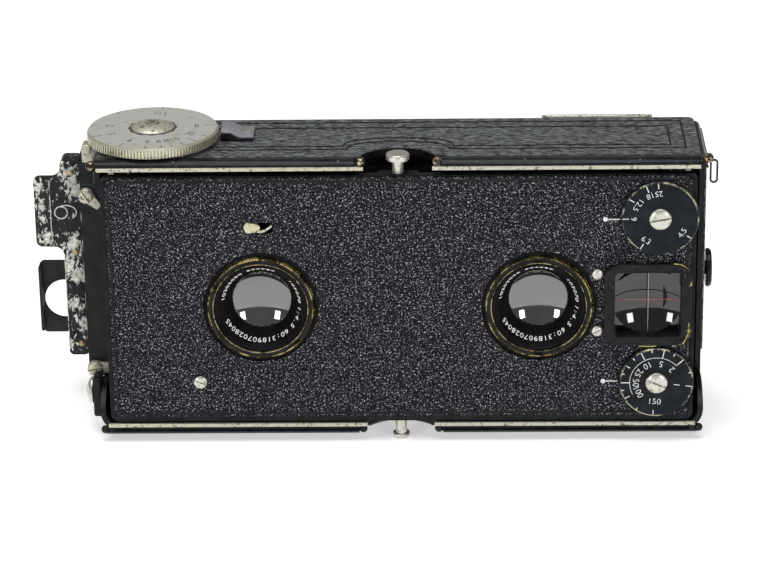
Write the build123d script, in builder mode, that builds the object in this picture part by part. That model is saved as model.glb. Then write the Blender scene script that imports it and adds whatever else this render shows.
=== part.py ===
"""Folding stereo camera for 45 x 107 mm plates, shown closed.

Frame: millimetres, +Z up, the front faces -Y, +X to the right of someone looking
at the front. The origin is the centre of the tripod socket, on the base's plane.
"""

import os
from math import asin, cos, pi, radians, sin

from build123d import *

# ---- driving dimensions -------------------------------------------------------
# Body box
BODY_HALF_W = 69.2          # metal side walls, outside
BODY_TOP = 65.7             # metal top, outside
BODY_BOTTOM = 0.5           # metal base, outside
WALL = 1.4
SIDE_WALL = 1.2
SKIN = 0.5                  # leather thickness
SIDE_SKIN = 0.4
REAR = 15.0                 # rear face of the box
REAR_WALL = 2.0
FRONT = -15.6               # front face of the pebbled cover, flush with the lips
LIP_FRONT = FRONT + 0.8     # metal lip behind its nickel strip
SIDE_FRONT = -4.0           # the side walls start here, behind the lips
MID_Z = 33.6                # middle of the plate and of the bright strips
BODY_MID_Z = (BODY_TOP + BODY_BOTTOM) / 2
NOTCH_HALF_W = 9.2

# Front standard
BOARD_HALF_W = 66.8
BOARD_BOTTOM = 3.1
BOARD_TOP = 63.0
COVER_T = 0.8
BOARD_T = 1.8
CASE_HALF_W = 60.8
CASE_BOTTOM = 6.5
CASE_TOP = 59.9
CASE_DEPTH = 8.1
PLATE_T = 1.0
LENS_X = 31.5               # half the 63 mm lens separation
LENS_Z = 31.4
RING_R = 12.4
CELL_R = 10.5
GLASS_R = 6.6
REAR_GLASS_R = 6.2
LEVER_R = 19.5              # centre line of the release lever's slot

FINDER_X, FINDER_Z = 56.1, 32.2
FINDER_SIZE = 19.6
FINDER_OPEN_W, FINDER_OPEN_H = 15.0, 15.5
APERTURE_X, APERTURE_Z, APERTURE_R = 58.5, 53.0, 8.75
SPEED_X, SPEED_Z, SPEED_R = 58.3, 13.2, 8.5
DIAL_T = 1.2

# Scissor struts: one crossed pair at each side
STRUT_L = 54.0
STRUT_CLOSED = 6.0          # pivot spacing along Y when closed
TRAVEL = 28.0
STRUT_LOW_Z = 6.5
STRUT_HALF_W = 2.2
STRUT_T = 1.2
PIN_R = 0.9
RUNNING = 0.05
REAR_PIVOT_Y = 4.2
FRONT_PIVOT_Y = REAR_PIVOT_Y - STRUT_CLOSED
SLACK = 0.86                # the opened centre pivot's clearance
BRACKET_X = 61.6
FRONT_ARM_X = 63.2
REAR_ARM_X = 64.8
RAIL_X = 66.3
RAIL_T = 1.0

# Focusing frame and dial
FRAME_Y = 7.0
FRAME_T = 2.0
FRAME_BOTTOM, FRAME_TOP = 4.0, 62.2
FOCUS_TRAVEL = 2.5
FOCUS_TURN = radians(290)
DIAL_X, DIAL_Y, DIAL_R = -55.8, 0.0, 14.9
DIAL_BOTTOM, DIAL_TOP = 66.95, 69.55
CAM_R = 5.6
CAM_PIN_R = 0.6
CAM_START_R = 2.1
SHAFT_R = 1.2

# Plate holder and its channel
HOLDER_FRONT = 15.5
HOLDER_T = 4.2
HOLDER_HALF_H = 24.6
HOLDER_LEFT, HOLDER_RIGHT = -74.7, 56.5
GRIP_FRONT = 14.3
SLIDE_HALF_H = 21.7

OVER = 1.0                  # how far a cut runs past a face

BOARD_REAR = LIP_FRONT + BOARD_T
CASE_REAR = BOARD_REAR + CASE_DEPTH
STANDARD_REAR = CASE_REAR + PLATE_T
START_ANGLE = asin(STRUT_CLOSED / STRUT_L)
END_ANGLE = asin((STRUT_CLOSED + TRAVEL) / STRUT_L)
PIN_HIGH_Z = STRUT_LOW_Z + STRUT_L * cos(START_ANGLE)
PIN_LOW_Z = STRUT_LOW_Z + STRUT_L * cos(END_ANGLE)
INSIDE_HALF_W = BODY_HALF_W - SIDE_WALL
INSIDE_TOP = BODY_TOP - WALL
INSIDE_BOTTOM = BODY_BOTTOM + WALL
SIDES = (-1, 1)

os.makedirs("parts", exist_ok=True)


def facing(y):
    """Sketch plane that faces the front, at depth y: local X is X, local Y is Z."""
    return Plane.XZ.offset(-y)


def save(part, name):
    """Label a finished piece and write it as its own STEP file."""
    part.label = name
    export_step(part, f"parts/{name}.step")


def dome_middle(radius, height):
    """Half-way point, from the axis, on a spherical cap of this rim radius and height."""
    ball = (radius**2 + height**2) / (2 * height)
    return radius / 2, height - ball + (ball**2 - radius**2 / 4) ** 0.5


def notch_circle(depth):
    """Radius and centre depth of the arc that cuts a finger notch."""
    radius = (NOTCH_HALF_W**2 + depth**2) / (2 * depth)
    return radius, FRONT + depth - radius


# ---- body ---------------------------------------------------------------------
TOP_NOTCH_R, TOP_NOTCH_Y = notch_circle(11.0)
BASE_NOTCH_R, BASE_NOTCH_Y = notch_circle(8.0)
CORNER_BASE, CORNER_TOP, CORNER_REAR = 5.0, 1.5, 1.6
FLANGE_LEFT = -72.6
FLANGE_BOTTOM, FLANGE_TOP = 10.2, 57.0
FLANGE_T = 1.5
IMAGE_W, IMAGE_H = 42.0, 41.4
EYEPIECE_X = 62.0
EYEPIECE_HOLE_R = 2.2
BUTTON_Y, BUTTON_Z = 5.4, 32.6
BUTTON_STEM_R = 2.0
BUSH_R, BUSH_H = 5.4, 3.5
LATCH_X = -71.2
LATCH_Z = (12.3, 54.9)
LATCH_PIN_R = 0.8
STUD_Y, STUD_Z, STUD_STEM_R = -7.8, 8.2, 1.2
HORN_TOP = 10.3
BAR_LEFT, BAR_FRONT = -74.6, 11.2
BAR_HALF_H = 23.5

with BuildPart() as body_shell:
    with BuildSketch(Plane.XY.offset(BODY_BOTTOM)):
        with Locations((0, (LIP_FRONT + REAR) / 2)):
            Rectangle(2 * BODY_HALF_W, REAR - LIP_FRONT)
    extrude(amount=BODY_TOP - BODY_BOTTOM)
    along_y = body_shell.edges().filter_by(Axis.Y)
    fillet(along_y.group_by(Axis.Z)[0], CORNER_BASE)
    fillet(body_shell.edges().filter_by(Axis.Y).group_by(Axis.Z)[-1], CORNER_TOP)
    fillet(body_shell.edges().filter_by(Axis.Z).group_by(Axis.Y)[-1], CORNER_REAR)
    # hollow inside, open at the front
    with BuildSketch(facing(REAR - REAR_WALL)) as hollow:
        with Locations((0, (INSIDE_TOP + INSIDE_BOTTOM) / 2)):
            Rectangle(2 * INSIDE_HALF_W, INSIDE_TOP - INSIDE_BOTTOM)
        fillet(hollow.vertices().group_by(Axis.Y)[0], CORNER_BASE - WALL)
    extrude(amount=REAR - REAR_WALL - LIP_FRONT + OVER, mode=Mode.SUBTRACT)
    # side walls cut back behind the lips, with a horn left at each lower corner
    with BuildSketch(Plane.YZ.offset(-BODY_HALF_W - OVER)):
        with BuildLine():
            Line((LIP_FRONT - OVER, INSIDE_TOP), (SIDE_FRONT, INSIDE_TOP))
            Line((SIDE_FRONT, INSIDE_TOP), (SIDE_FRONT, HORN_TOP))
            ThreePointArc((SIDE_FRONT, HORN_TOP), (-11.6, 9.2), (LIP_FRONT - OVER, 5.5))
            Line((LIP_FRONT - OVER, 5.5), (LIP_FRONT - OVER, INSIDE_TOP))
        make_face()
    extrude(amount=2 * BODY_HALF_W + 2 * OVER, mode=Mode.SUBTRACT)
    # finger notches in both lips
    with BuildSketch(Plane.XY.offset(INSIDE_TOP - OVER)):
        with Locations((0, TOP_NOTCH_Y)):
            Circle(TOP_NOTCH_R)
    extrude(amount=WALL + 2 * OVER, mode=Mode.SUBTRACT)
    with BuildSketch(Plane.XY.offset(BODY_BOTTOM - OVER)):
        with Locations((0, BASE_NOTCH_Y)):
            Circle(BASE_NOTCH_R)
    extrude(amount=WALL + 2 * OVER, mode=Mode.SUBTRACT)
    # two picture windows and the finder's peep hole in the rear wall
    with BuildSketch(facing(REAR + OVER)):
        with Locations((-LENS_X, MID_Z), (LENS_X, MID_Z)):
            Rectangle(IMAGE_W, IMAGE_H)
        with Locations((EYEPIECE_X, FINDER_Z)):
            Circle(EYEPIECE_HOLE_R)
    extrude(amount=REAR_WALL + 2 * OVER, mode=Mode.SUBTRACT)
    # left flange that carries the turn latches, and the bar beside the channel
    with BuildSketch(facing(SIDE_FRONT + FLANGE_T)):
        with Locations(((FLANGE_LEFT - INSIDE_HALF_W) / 2, (FLANGE_TOP + FLANGE_BOTTOM) / 2)):
            Rectangle(-INSIDE_HALF_W - FLANGE_LEFT, FLANGE_TOP - FLANGE_BOTTOM)
    extrude(amount=FLANGE_T)
    with BuildSketch(facing(REAR)):
        with Locations(((BAR_LEFT - INSIDE_HALF_W) / 2, MID_Z)):
            Rectangle(-INSIDE_HALF_W - BAR_LEFT, 2 * BAR_HALF_H)
    extrude(amount=REAR - BAR_FRONT)
    # holes for the focusing shaft, tripod bush, latch screws, stud and button
    with BuildSketch(Plane.XY.offset(INSIDE_TOP - OVER)):
        with Locations((DIAL_X, DIAL_Y)):
            Circle(SHAFT_R + RUNNING)
    extrude(amount=WALL + 2 * OVER, mode=Mode.SUBTRACT)
    with BuildSketch(Plane.XY.offset(BODY_BOTTOM - OVER)):
        Circle(BUSH_R)
    extrude(amount=WALL + 2 * OVER, mode=Mode.SUBTRACT)
    with BuildSketch(facing(SIDE_FRONT + FLANGE_T + OVER)):
        with Locations(*[(LATCH_X, z) for z in LATCH_Z]):
            Circle(LATCH_PIN_R)
    extrude(amount=FLANGE_T + 2 * OVER, mode=Mode.SUBTRACT)
    with BuildSketch(Plane.YZ.offset(-BODY_HALF_W - OVER)):
        with Locations((STUD_Y, STUD_Z)):
            Circle(STUD_STEM_R)
    extrude(amount=SIDE_WALL + 2 * OVER, mode=Mode.SUBTRACT)
    with BuildSketch(Plane.YZ.offset(INSIDE_HALF_W - OVER)):
        with Locations((BUTTON_Y, BUTTON_Z)):
            Circle(BUTTON_STEM_R + RUNNING)
    extrude(amount=SIDE_WALL + 2 * OVER, mode=Mode.SUBTRACT)
save(body_shell.part, "body_shell")

# ---- leather skins --------------------------------------------------------------
LIP_BACK = -10.9            # the leather starts behind the rolled bead

with BuildPart() as top_leather:
    with BuildSketch(Plane.XY.offset(BODY_TOP)) as skin:
        with Locations((0, (LIP_BACK + REAR) / 2)):
            Rectangle(2 * (BODY_HALF_W - CORNER_TOP), REAR - LIP_BACK)
        fillet(skin.vertices().group_by(Axis.Y)[-1], CORNER_REAR)
        with Locations((0, TOP_NOTCH_Y)):
            Circle(TOP_NOTCH_R, mode=Mode.SUBTRACT)
        with Locations((DIAL_X, DIAL_Y)):
            Circle(SHAFT_R + 0.4, mode=Mode.SUBTRACT)
    extrude(amount=SKIN)
save(top_leather.part, "top_leather")

with BuildPart() as base_leather:
    with BuildSketch() as skin:
        with Locations((0, (LIP_BACK + REAR) / 2)):
            Rectangle(2 * (BODY_HALF_W - CORNER_BASE), REAR - LIP_BACK)
        with Locations((0, BASE_NOTCH_Y)):
            Circle(BASE_NOTCH_R, mode=Mode.SUBTRACT)
        Circle(BUSH_R, mode=Mode.SUBTRACT)
    extrude(amount=SKIN)
save(base_leather.part, "base_leather")

SIDE_SKIN_BOTTOM, SIDE_SKIN_TOP = 16.0, 64.0
with BuildPart() as side_leathers:
    with BuildSketch(Plane.YZ.offset(BODY_HALF_W)):
        with Locations(((SIDE_FRONT + REAR - CORNER_REAR) / 2, (SIDE_SKIN_BOTTOM + SIDE_SKIN_TOP) / 2)):
            Rectangle(REAR - CORNER_REAR - SIDE_FRONT, SIDE_SKIN_TOP - SIDE_SKIN_BOTTOM)
        with Locations((BUTTON_Y, BUTTON_Z)):
            Circle(BUTTON_STEM_R + 0.3, mode=Mode.SUBTRACT)
    extrude(amount=SIDE_SKIN)
    with BuildSketch(Plane.YZ.offset(-BODY_HALF_W - SIDE_SKIN)):
        with Locations(((SIDE_FRONT + FLANGE_T + BAR_FRONT) / 2, (SIDE_SKIN_BOTTOM + SIDE_SKIN_TOP) / 2)):
            Rectangle(BAR_FRONT - SIDE_FRONT - FLANGE_T, SIDE_SKIN_TOP - SIDE_SKIN_BOTTOM)
    extrude(amount=SIDE_SKIN)
save(side_leathers.part, "side_leathers")

# ---- bright strips and rolled beads along the lips ---------------------------------
STRIP_H = 0.9
STRIP_INNER, STRIP_OUTER = 7.7, 67.4
BEAD_INNER, BEAD_OUTER = 9.6, 68.0
BALL_R = 1.25

with BuildPart() as lip_strips:
    for side in SIDES:
        for middle in (MID_Z - 31.2, MID_Z + 31.2):
            with BuildSketch(facing(LIP_FRONT)):
                with Locations((side * (STRIP_INNER + STRIP_OUTER) / 2, middle)):
                    Rectangle(STRIP_OUTER - STRIP_INNER, STRIP_H)
            extrude(amount=LIP_FRONT - FRONT)
save(lip_strips.part, "lip_strips")

with BuildPart() as lip_beads:
    for side in SIDES:
        start = -BEAD_OUTER if side < 0 else BEAD_INNER
        with BuildSketch(Plane.YZ.offset(start)):
            with BuildLine():
                Line((LIP_BACK, BODY_TOP), (LIP_FRONT, BODY_TOP))
                Line((LIP_FRONT, BODY_TOP), (LIP_FRONT, BODY_TOP - 0.4))
                Line((LIP_FRONT, BODY_TOP - 0.4), (FRONT + 0.1, BODY_TOP - 0.4))
                ThreePointArc((FRONT + 0.1, BODY_TOP - 0.4), (-14.4, BODY_TOP + 0.65), (-12.9, BODY_TOP + 0.75))
                ThreePointArc((-12.9, BODY_TOP + 0.75), (-11.5, BODY_TOP + 0.5), (LIP_BACK, BODY_TOP))
            make_face()
        extrude(amount=BEAD_OUTER - BEAD_INNER)
    mirror(about=Plane.XY.offset(BODY_MID_Z))
save(lip_beads.part, "lip_beads")

with BuildPart() as bead_ends:
    for height in (BODY_BOTTOM - 0.15, BODY_TOP + 0.15):
        for side in SIDES:
            for across in (BEAD_INNER - BALL_R, BEAD_OUTER + BALL_R):
                with Locations((side * across, LIP_FRONT - BALL_R - 0.02 + 0.9, height)):
                    Sphere(BALL_R)
    with BuildSketch(facing(REAR)):
        with Locations((0, BODY_MID_Z)):
            Rectangle(2 * BODY_HALF_W, BODY_TOP - BODY_BOTTOM)
    extrude(amount=REAR - LIP_FRONT, mode=Mode.SUBTRACT)
    for middle in (MID_Z - 31.2, MID_Z + 31.2):
        with BuildSketch(facing(LIP_FRONT)):
            with Locations((0, middle)):
                Rectangle(2 * STRIP_OUTER, STRIP_H)
        extrude(amount=4 * BALL_R, mode=Mode.SUBTRACT)
save(bead_ends.part, "bead_ends")

# ---- index clip beside the focusing dial ----------------------------------------------
CLIP_LEFT, CLIP_RIGHT = -40.4, -33.0
CLIP_FRONT, CLIP_REAR = -0.5, 6.7
CLIP_HIGH, CLIP_LOW, CLIP_T = 68.1, 67.0, 0.5
CLIP_BEND_HIGH, CLIP_BEND_LOW = -38.2, -36.2
CLIP_SCREW_X = -34.5
SKIN_TOP = BODY_TOP + SKIN

with BuildPart() as index_base:
    with BuildSketch(facing(CLIP_REAR)):
        with BuildLine():
            Polyline(
                (CLIP_LEFT, SKIN_TOP), (CLIP_RIGHT, SKIN_TOP), (CLIP_RIGHT, CLIP_LOW),
                (CLIP_BEND_LOW, CLIP_LOW), (CLIP_BEND_HIGH, CLIP_HIGH), (CLIP_LEFT, CLIP_HIGH),
                close=True,
            )
        make_face()
    extrude(amount=CLIP_REAR - CLIP_FRONT)
save(index_base.part, "index_base")

with BuildPart() as index_clip:
    with BuildSketch(facing(CLIP_REAR)):
        with BuildLine():
            Polyline(
                (CLIP_LEFT, CLIP_HIGH), (CLIP_BEND_HIGH, CLIP_HIGH), (CLIP_BEND_LOW, CLIP_LOW),
                (CLIP_RIGHT, CLIP_LOW), (CLIP_RIGHT, CLIP_LOW + CLIP_T),
                (CLIP_BEND_LOW + 0.2, CLIP_LOW + CLIP_T), (CLIP_BEND_HIGH + 0.2, CLIP_HIGH + CLIP_T),
                (CLIP_LEFT, CLIP_HIGH + CLIP_T),
                close=True,
            )
        make_face()
    extrude(amount=CLIP_REAR - CLIP_FRONT)
save(index_clip.part, "index_clip")

# ---- channel at the back that takes the plate holder -------------------------------------
HOLDER_REAR = HOLDER_FRONT + HOLDER_T
SLIP = 0.3
RAIL_REAR = HOLDER_REAR + SLIP + 0.9
RAIL_HALF_W = 68.6
RAIL_H = 3.0

with BuildPart() as back_channel:
    for side in SIDES:
        inner = MID_Z + side * (HOLDER_HALF_H + SLIP + RAIL_H / 2)
        with BuildSketch(Plane.YZ.offset(-RAIL_HALF_W)):
            with Locations(((REAR + RAIL_REAR) / 2, inner)):
                Rectangle(RAIL_REAR - REAR, RAIL_H)
            with Locations((RAIL_REAR - 0.45, inner - side * RAIL_H / 2)):
                Rectangle(0.9, 4.0)
        extrude(amount=2 * RAIL_HALF_W)
    with BuildSketch(facing(RAIL_REAR)):
        with Locations(((HOLDER_RIGHT + SLIP + 57.8) / 2, MID_Z)):
            Rectangle(57.8 - HOLDER_RIGHT - SLIP, 2 * HOLDER_HALF_H + 2)
    extrude(amount=RAIL_REAR - REAR)
save(back_channel.part, "back_channel")

LUG_LEFT, LUG_W, LUG_H = -73.8, 2.2, 4.4
with BuildPart() as channel_lugs:
    for side in SIDES:
        with BuildSketch(facing(REAR)):
            with Locations((LUG_LEFT + LUG_W / 2, MID_Z + side * (BAR_HALF_H + LUG_H / 2))):
                RectangleRounded(LUG_W, LUG_H, 0.8)
            with Locations(((LUG_LEFT - BODY_HALF_W) / 2, MID_Z + side * (BAR_HALF_H + 1.2))):
                Rectangle(-BODY_HALF_W - LUG_LEFT, 2.4)
        extrude(amount=REAR - BAR_FRONT)
save(channel_lugs.part, "channel_lugs")

SEAL_T, SEAL_W = 0.4, 4.0
with BuildPart() as light_seals:
    for across in (-65.0, EYEPIECE_X - 7.6):
        with BuildSketch(facing(REAR + SEAL_T)):
            with Locations((across, MID_Z)):
                Rectangle(SEAL_W if across < 0 else 2.0, 2 * HOLDER_HALF_H - 1)
        extrude(amount=SEAL_T)
save(light_seals.part, "light_seals")

with BuildPart() as finder_eyepiece:
    with BuildSketch(facing(REAR + 2.4)):
        with Locations((EYEPIECE_X + 0.6, FINDER_Z)):
            Circle(3.6)
        with Locations((EYEPIECE_X, FINDER_Z)):
            Circle(EYEPIECE_HOLE_R, mode=Mode.SUBTRACT)
    extrude(amount=2.4)
save(finder_eyepiece.part, "finder_eyepiece")

# ---- small body fittings -------------------------------------------------------------------
BUSH_BORE_R = 3.75
with BuildPart() as tripod_bush:
    with BuildSketch():
        Circle(BUSH_R)
        Circle(BUSH_BORE_R, mode=Mode.SUBTRACT)
    extrude(amount=BUSH_H)
save(tripod_bush.part, "tripod_bush")

LATCH_FRONT = SIDE_FRONT - 1.0
with BuildPart() as latch_screws:
    for height in LATCH_Z:
        with BuildSketch(facing(SIDE_FRONT + FLANGE_T)):
            with Locations((LATCH_X, height)):
                Circle(LATCH_PIN_R)
        extrude(amount=SIDE_FRONT + FLANGE_T - LATCH_FRONT + RUNNING)
        with BuildSketch(facing(LATCH_FRONT - RUNNING)):
            with Locations((LATCH_X, height)):
                Circle(1.6)
        extrude(amount=0.8)
        with BuildSketch(facing(LATCH_FRONT - RUNNING - 0.45)):
            with Locations((LATCH_X, height)):
                Rectangle(3.6, 0.45, rotation=-65)
        extrude(amount=0.8, mode=Mode.SUBTRACT)
save(latch_screws.part, "latch_screws")

STUD_R = 3.1
with BuildPart() as strap_stud:
    with BuildSketch(Plane.YZ.offset(-BODY_HALF_W - 0.9)):
        with Locations((STUD_Y, STUD_Z)):
            Circle(STUD_STEM_R)
    extrude(amount=SIDE_WALL + 0.9)
    with Locations((-BODY_HALF_W - 0.9, STUD_Y, STUD_Z)):
        Cone(STUD_R, 1.2, 3.0, rotation=(0, -90, 0), align=(Align.CENTER, Align.CENTER, Align.MIN))
save(strap_stud.part, "strap_stud")

SCREW_HEAD_R = 1.2
with BuildPart() as body_screws:
    with BuildSketch(Plane.XY.offset(CLIP_LOW + CLIP_T)):
        with Locations((CLIP_SCREW_X, (CLIP_FRONT + CLIP_REAR) / 2)):
            Circle(SCREW_HEAD_R)
            Rectangle(2 * SCREW_HEAD_R, 0.35, rotation=35, mode=Mode.SUBTRACT)
    extrude(amount=0.35)
    with BuildSketch(facing(RAIL_REAR)):
        with GridLocations(124.0, 2 * (HOLDER_HALF_H + SLIP) + RAIL_H, 2, 2):
            with Locations((0, MID_Z)):
                Circle(SCREW_HEAD_R)
    extrude(amount=-0.7)
save(body_screws.part, "body_screws")

SIGHT_LEFT, SIGHT_RIGHT = 34.0, 57.0
SIGHT_Y, SIGHT_Z, SIGHT_R = 15.75, 66.1, 0.55
with BuildPart() as sight_ears:
    for start in (SIGHT_LEFT - 1.2, SIGHT_RIGHT + 0.2):
        with BuildSketch(Plane.YZ.offset(start)):
            with Locations(((REAR + SIGHT_Y + SIGHT_R) / 2, 64.4)):
                Rectangle(SIGHT_Y + SIGHT_R - REAR, 4.0)
            with Locations((SIGHT_Y, SIGHT_Z)):
                Circle(0.3 + RUNNING, mode=Mode.SUBTRACT)
        extrude(amount=1.0)
save(sight_ears.part, "sight_ears")

with BuildPart() as rear_sight:
    with BuildSketch(Plane.YZ.offset(SIGHT_LEFT)):
        with Locations((SIGHT_Y, SIGHT_Z)):
            Circle(SIGHT_R)
        with Locations((SIGHT_Y, SIGHT_Z - 2.0)):
            Rectangle(0.6, 4.0)
    extrude(amount=SIGHT_RIGHT - SIGHT_LEFT)
    with BuildSketch(Plane.YZ.offset(SIGHT_LEFT - 1.2)):
        with Locations((SIGHT_Y, SIGHT_Z)):
            Circle(0.3)
    extrude(amount=SIGHT_RIGHT - SIGHT_LEFT + 2.4)
save(rear_sight.part, "rear_sight")

LOOP_PIVOT = (69.75, -12.6, 65.3)
with BuildPart() as strap_loop:
    with BuildSketch(facing(-12.2)):
        with Locations((LOOP_PIVOT[0] + 0.75, LOOP_PIVOT[2] - 2.6)):
            SlotCenterToCenter(3.8, 1.9, rotation=90)
            SlotCenterToCenter(3.8, 1.0, rotation=90, mode=Mode.SUBTRACT)
    extrude(amount=0.5)
save(strap_loop.part, "strap_loop")

BUTTON_R = 4.5
with BuildPart() as release_button:
    with BuildSketch(Plane.YZ.offset(INSIDE_HALF_W)):
        with Locations((BUTTON_Y, BUTTON_Z)):
            Circle(BUTTON_STEM_R)
    extrude(amount=SIDE_WALL + SIDE_SKIN + 0.8)
    with BuildSketch(Plane.YZ.offset(BODY_HALF_W + SIDE_SKIN + 0.8)):
        with Locations((BUTTON_Y, BUTTON_Z)):
            Circle(BUTTON_R)
    extrude(amount=1.5)
    chamfer(release_button.edges().filter_by(GeomType.CIRCLE).group_by(Axis.X)[-1], 0.5)
save(release_button.part, "release_button")

LATCH_ANGLES = {"lower_latch": 0.0, "upper_latch": -45.0}
for (latch_name, angle), height in zip(LATCH_ANGLES.items(), LATCH_Z):
    with BuildPart() as latch:
        with BuildSketch(facing(SIDE_FRONT)):
            with Locations(Location((LATCH_X, height, 0), angle)):
                Circle(1.75)
                with Locations((2.1, 0)):
                    Rectangle(4.2, 2.6)
                Circle(LATCH_PIN_R + RUNNING, mode=Mode.SUBTRACT)
        extrude(amount=1.0)
    save(latch.part, latch_name)

# ---- lens board, cover and shutter case ---------------------------------------------------
LENSES = ((-LENS_X, LENS_Z), (LENS_X, LENS_Z))
LEVER_SLOT = (-LENS_X, LENS_Z + LEVER_R - 0.1)
SLOT_W, SLOT_H = 6.8, 2.7
COVER_SCREW_X, COVER_SCREW_Z = -45.8, MID_Z - 20.3
FINDER_SCREW_X = 44.7
FINDER_SCREW_Z = (MID_Z - 8.1, MID_Z + 5.7)
FINDER_TUBE_W, FINDER_TUBE_H = 16.0, 16.5
FINDER_REAR = -11.8
COVER_REAR = FRONT + COVER_T
DIALS = {"aperture": (APERTURE_X, APERTURE_Z), "speed": (SPEED_X, SPEED_Z)}
DIAL_SHAFT_R = 1.5
DIAL_GAP = 0.1
COVER_BOTTOM, COVER_TOP = 4.7, 62.7
COVER_HALF_W = 65.7
SCREW_SHANK_R = 0.7

with BuildPart() as front_cover:
    with BuildSketch(facing(COVER_REAR)):
        with Locations((0, (COVER_BOTTOM + COVER_TOP) / 2)):
            RectangleRounded(2 * COVER_HALF_W, COVER_TOP - COVER_BOTTOM, 2.0)
        with Locations(*LENSES):
            Circle(RING_R + 0.6, mode=Mode.SUBTRACT)
        with Locations(LEVER_SLOT):
            RectangleRounded(SLOT_W, SLOT_H, 1.0, mode=Mode.SUBTRACT)
        with Locations((FINDER_X, FINDER_Z)):
            Rectangle(FINDER_TUBE_W, FINDER_TUBE_H, mode=Mode.SUBTRACT)
        with Locations(*DIALS.values()):
            Circle(DIAL_SHAFT_R + 0.3, mode=Mode.SUBTRACT)
        with Locations((COVER_SCREW_X, COVER_SCREW_Z), *[(FINDER_SCREW_X, z) for z in FINDER_SCREW_Z]):
            Circle(SCREW_SHANK_R, mode=Mode.SUBTRACT)
    extrude(amount=COVER_T)
save(front_cover.part, "front_cover")

with BuildPart() as lens_board:
    with BuildSketch(facing(BOARD_REAR)):
        with Locations((0, (BOARD_BOTTOM + BOARD_TOP) / 2)):
            RectangleRounded(2 * BOARD_HALF_W, BOARD_TOP - BOARD_BOTTOM, 2.0)
        with Locations(*LENSES):
            Circle(CELL_R + 0.1, mode=Mode.SUBTRACT)
        with Locations(LEVER_SLOT):
            RectangleRounded(SLOT_W, SLOT_H, 1.0, mode=Mode.SUBTRACT)
        with Locations((FINDER_X, FINDER_Z)):
            Rectangle(FINDER_TUBE_W, FINDER_TUBE_H, mode=Mode.SUBTRACT)
        with Locations(*DIALS.values()):
            Circle(DIAL_SHAFT_R + RUNNING, mode=Mode.SUBTRACT)
        with Locations((COVER_SCREW_X, COVER_SCREW_Z), *[(FINDER_SCREW_X, z) for z in FINDER_SCREW_Z]):
            Circle(SCREW_SHANK_R, mode=Mode.SUBTRACT)
    extrude(amount=BOARD_T)
    # bosses that carry the pull knobs
    for low, high in ((BOARD_BOTTOM, CASE_BOTTOM), (CASE_TOP, BOARD_TOP)):
        with BuildSketch(facing(BOARD_REAR + 1.6)):
            with Locations((0, (low + high) / 2)):
                Rectangle(9.0, high - low)
        extrude(amount=1.6)
save(lens_board.part, "lens_board")

KNOB_Y = BOARD_REAR - 0.1
with BuildPart() as pull_knobs:
    with BuildSketch(Plane.XY.offset(BOARD_TOP)):
        with Locations((0, KNOB_Y)):
            Circle(1.3)
    extrude(amount=SKIN_TOP - BOARD_TOP)
    with BuildSketch(Plane.XY.offset(SKIN_TOP)):
        with Locations((0, KNOB_Y)):
            Circle(2.65)
    extrude(amount=1.5)
    with BuildSketch(Plane.XY.offset(BOARD_BOTTOM)):
        with Locations((0, KNOB_Y)):
            Circle(1.3)
    extrude(amount=-BOARD_BOTTOM - 0.4)
    with BuildSketch(Plane.XY.offset(-0.4)):
        with Locations((0, KNOB_Y)):
            Circle(1.95)
    extrude(amount=-1.2)
    chamfer(pull_knobs.edges().filter_by(GeomType.CIRCLE).group_by(Axis.Z)[0], 0.35)
    chamfer(pull_knobs.edges().filter_by(GeomType.CIRCLE).group_by(Axis.Z)[-1], 0.3)
save(pull_knobs.part, "pull_knobs")

FINDER_CUT_W, FINDER_CUT_H = FINDER_TUBE_W + 0.4, FINDER_TUBE_H + 0.4
with BuildPart() as shutter_case:
    with BuildSketch(facing(CASE_REAR)):
        with Locations((0, (CASE_BOTTOM + CASE_TOP) / 2)):
            RectangleRounded(2 * CASE_HALF_W, CASE_TOP - CASE_BOTTOM, 2.0)
    extrude(amount=CASE_DEPTH)
    with BuildSketch(facing(CASE_REAR)):
        with Locations((0, (CASE_BOTTOM + CASE_TOP) / 2)):
            RectangleRounded(2 * (CASE_HALF_W - PLATE_T), CASE_TOP - CASE_BOTTOM - 2 * PLATE_T, 1.0)
    extrude(amount=CASE_DEPTH - PLATE_T, mode=Mode.SUBTRACT)
    with BuildSketch(facing(BOARD_REAR + PLATE_T + OVER)):
        with Locations(*LENSES):
            Circle(CELL_R + 0.1)
        with Locations(LEVER_SLOT):
            RectangleRounded(SLOT_W, SLOT_H, 1.0)
        with Locations(*DIALS.values()):
            Circle(DIAL_SHAFT_R + 0.3)
    extrude(amount=PLATE_T + 2 * OVER, mode=Mode.SUBTRACT)
    with BuildSketch(facing(FINDER_REAR + 0.2)):
        with Locations((FINDER_X, FINDER_Z)):
            Rectangle(FINDER_CUT_W, FINDER_CUT_H)
    extrude(amount=FINDER_REAR + 0.2 - BOARD_REAR + OVER, mode=Mode.SUBTRACT)
save(shutter_case.part, "shutter_case")

SECTOR_ARM = 17.0
POST_R = 0.8
SECTOR_FRONT, SECTOR_T = -6.5, 0.4
REAR_TUBE_R = 8.5
with BuildPart() as shutter_back:
    with BuildSketch(facing(STANDARD_REAR)):
        with Locations((0, (CASE_BOTTOM + CASE_TOP) / 2)):
            RectangleRounded(2 * CASE_HALF_W, CASE_TOP - CASE_BOTTOM, 2.0)
        with Locations(*LENSES):
            Circle(REAR_GLASS_R + 0.4, mode=Mode.SUBTRACT)
        with Locations((54.9, FINDER_Z)):
            Rectangle(9.0, 13.0, mode=Mode.SUBTRACT)
    extrude(amount=PLATE_T)
    with BuildSketch(facing(CASE_REAR)):
        with Locations(*[(x, z + SECTOR_ARM) for x, z in LENSES]):
            Circle(POST_R)
    extrude(amount=CASE_REAR - SECTOR_FRONT + 0.4)
save(shutter_back.part, "shutter_back")

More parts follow.
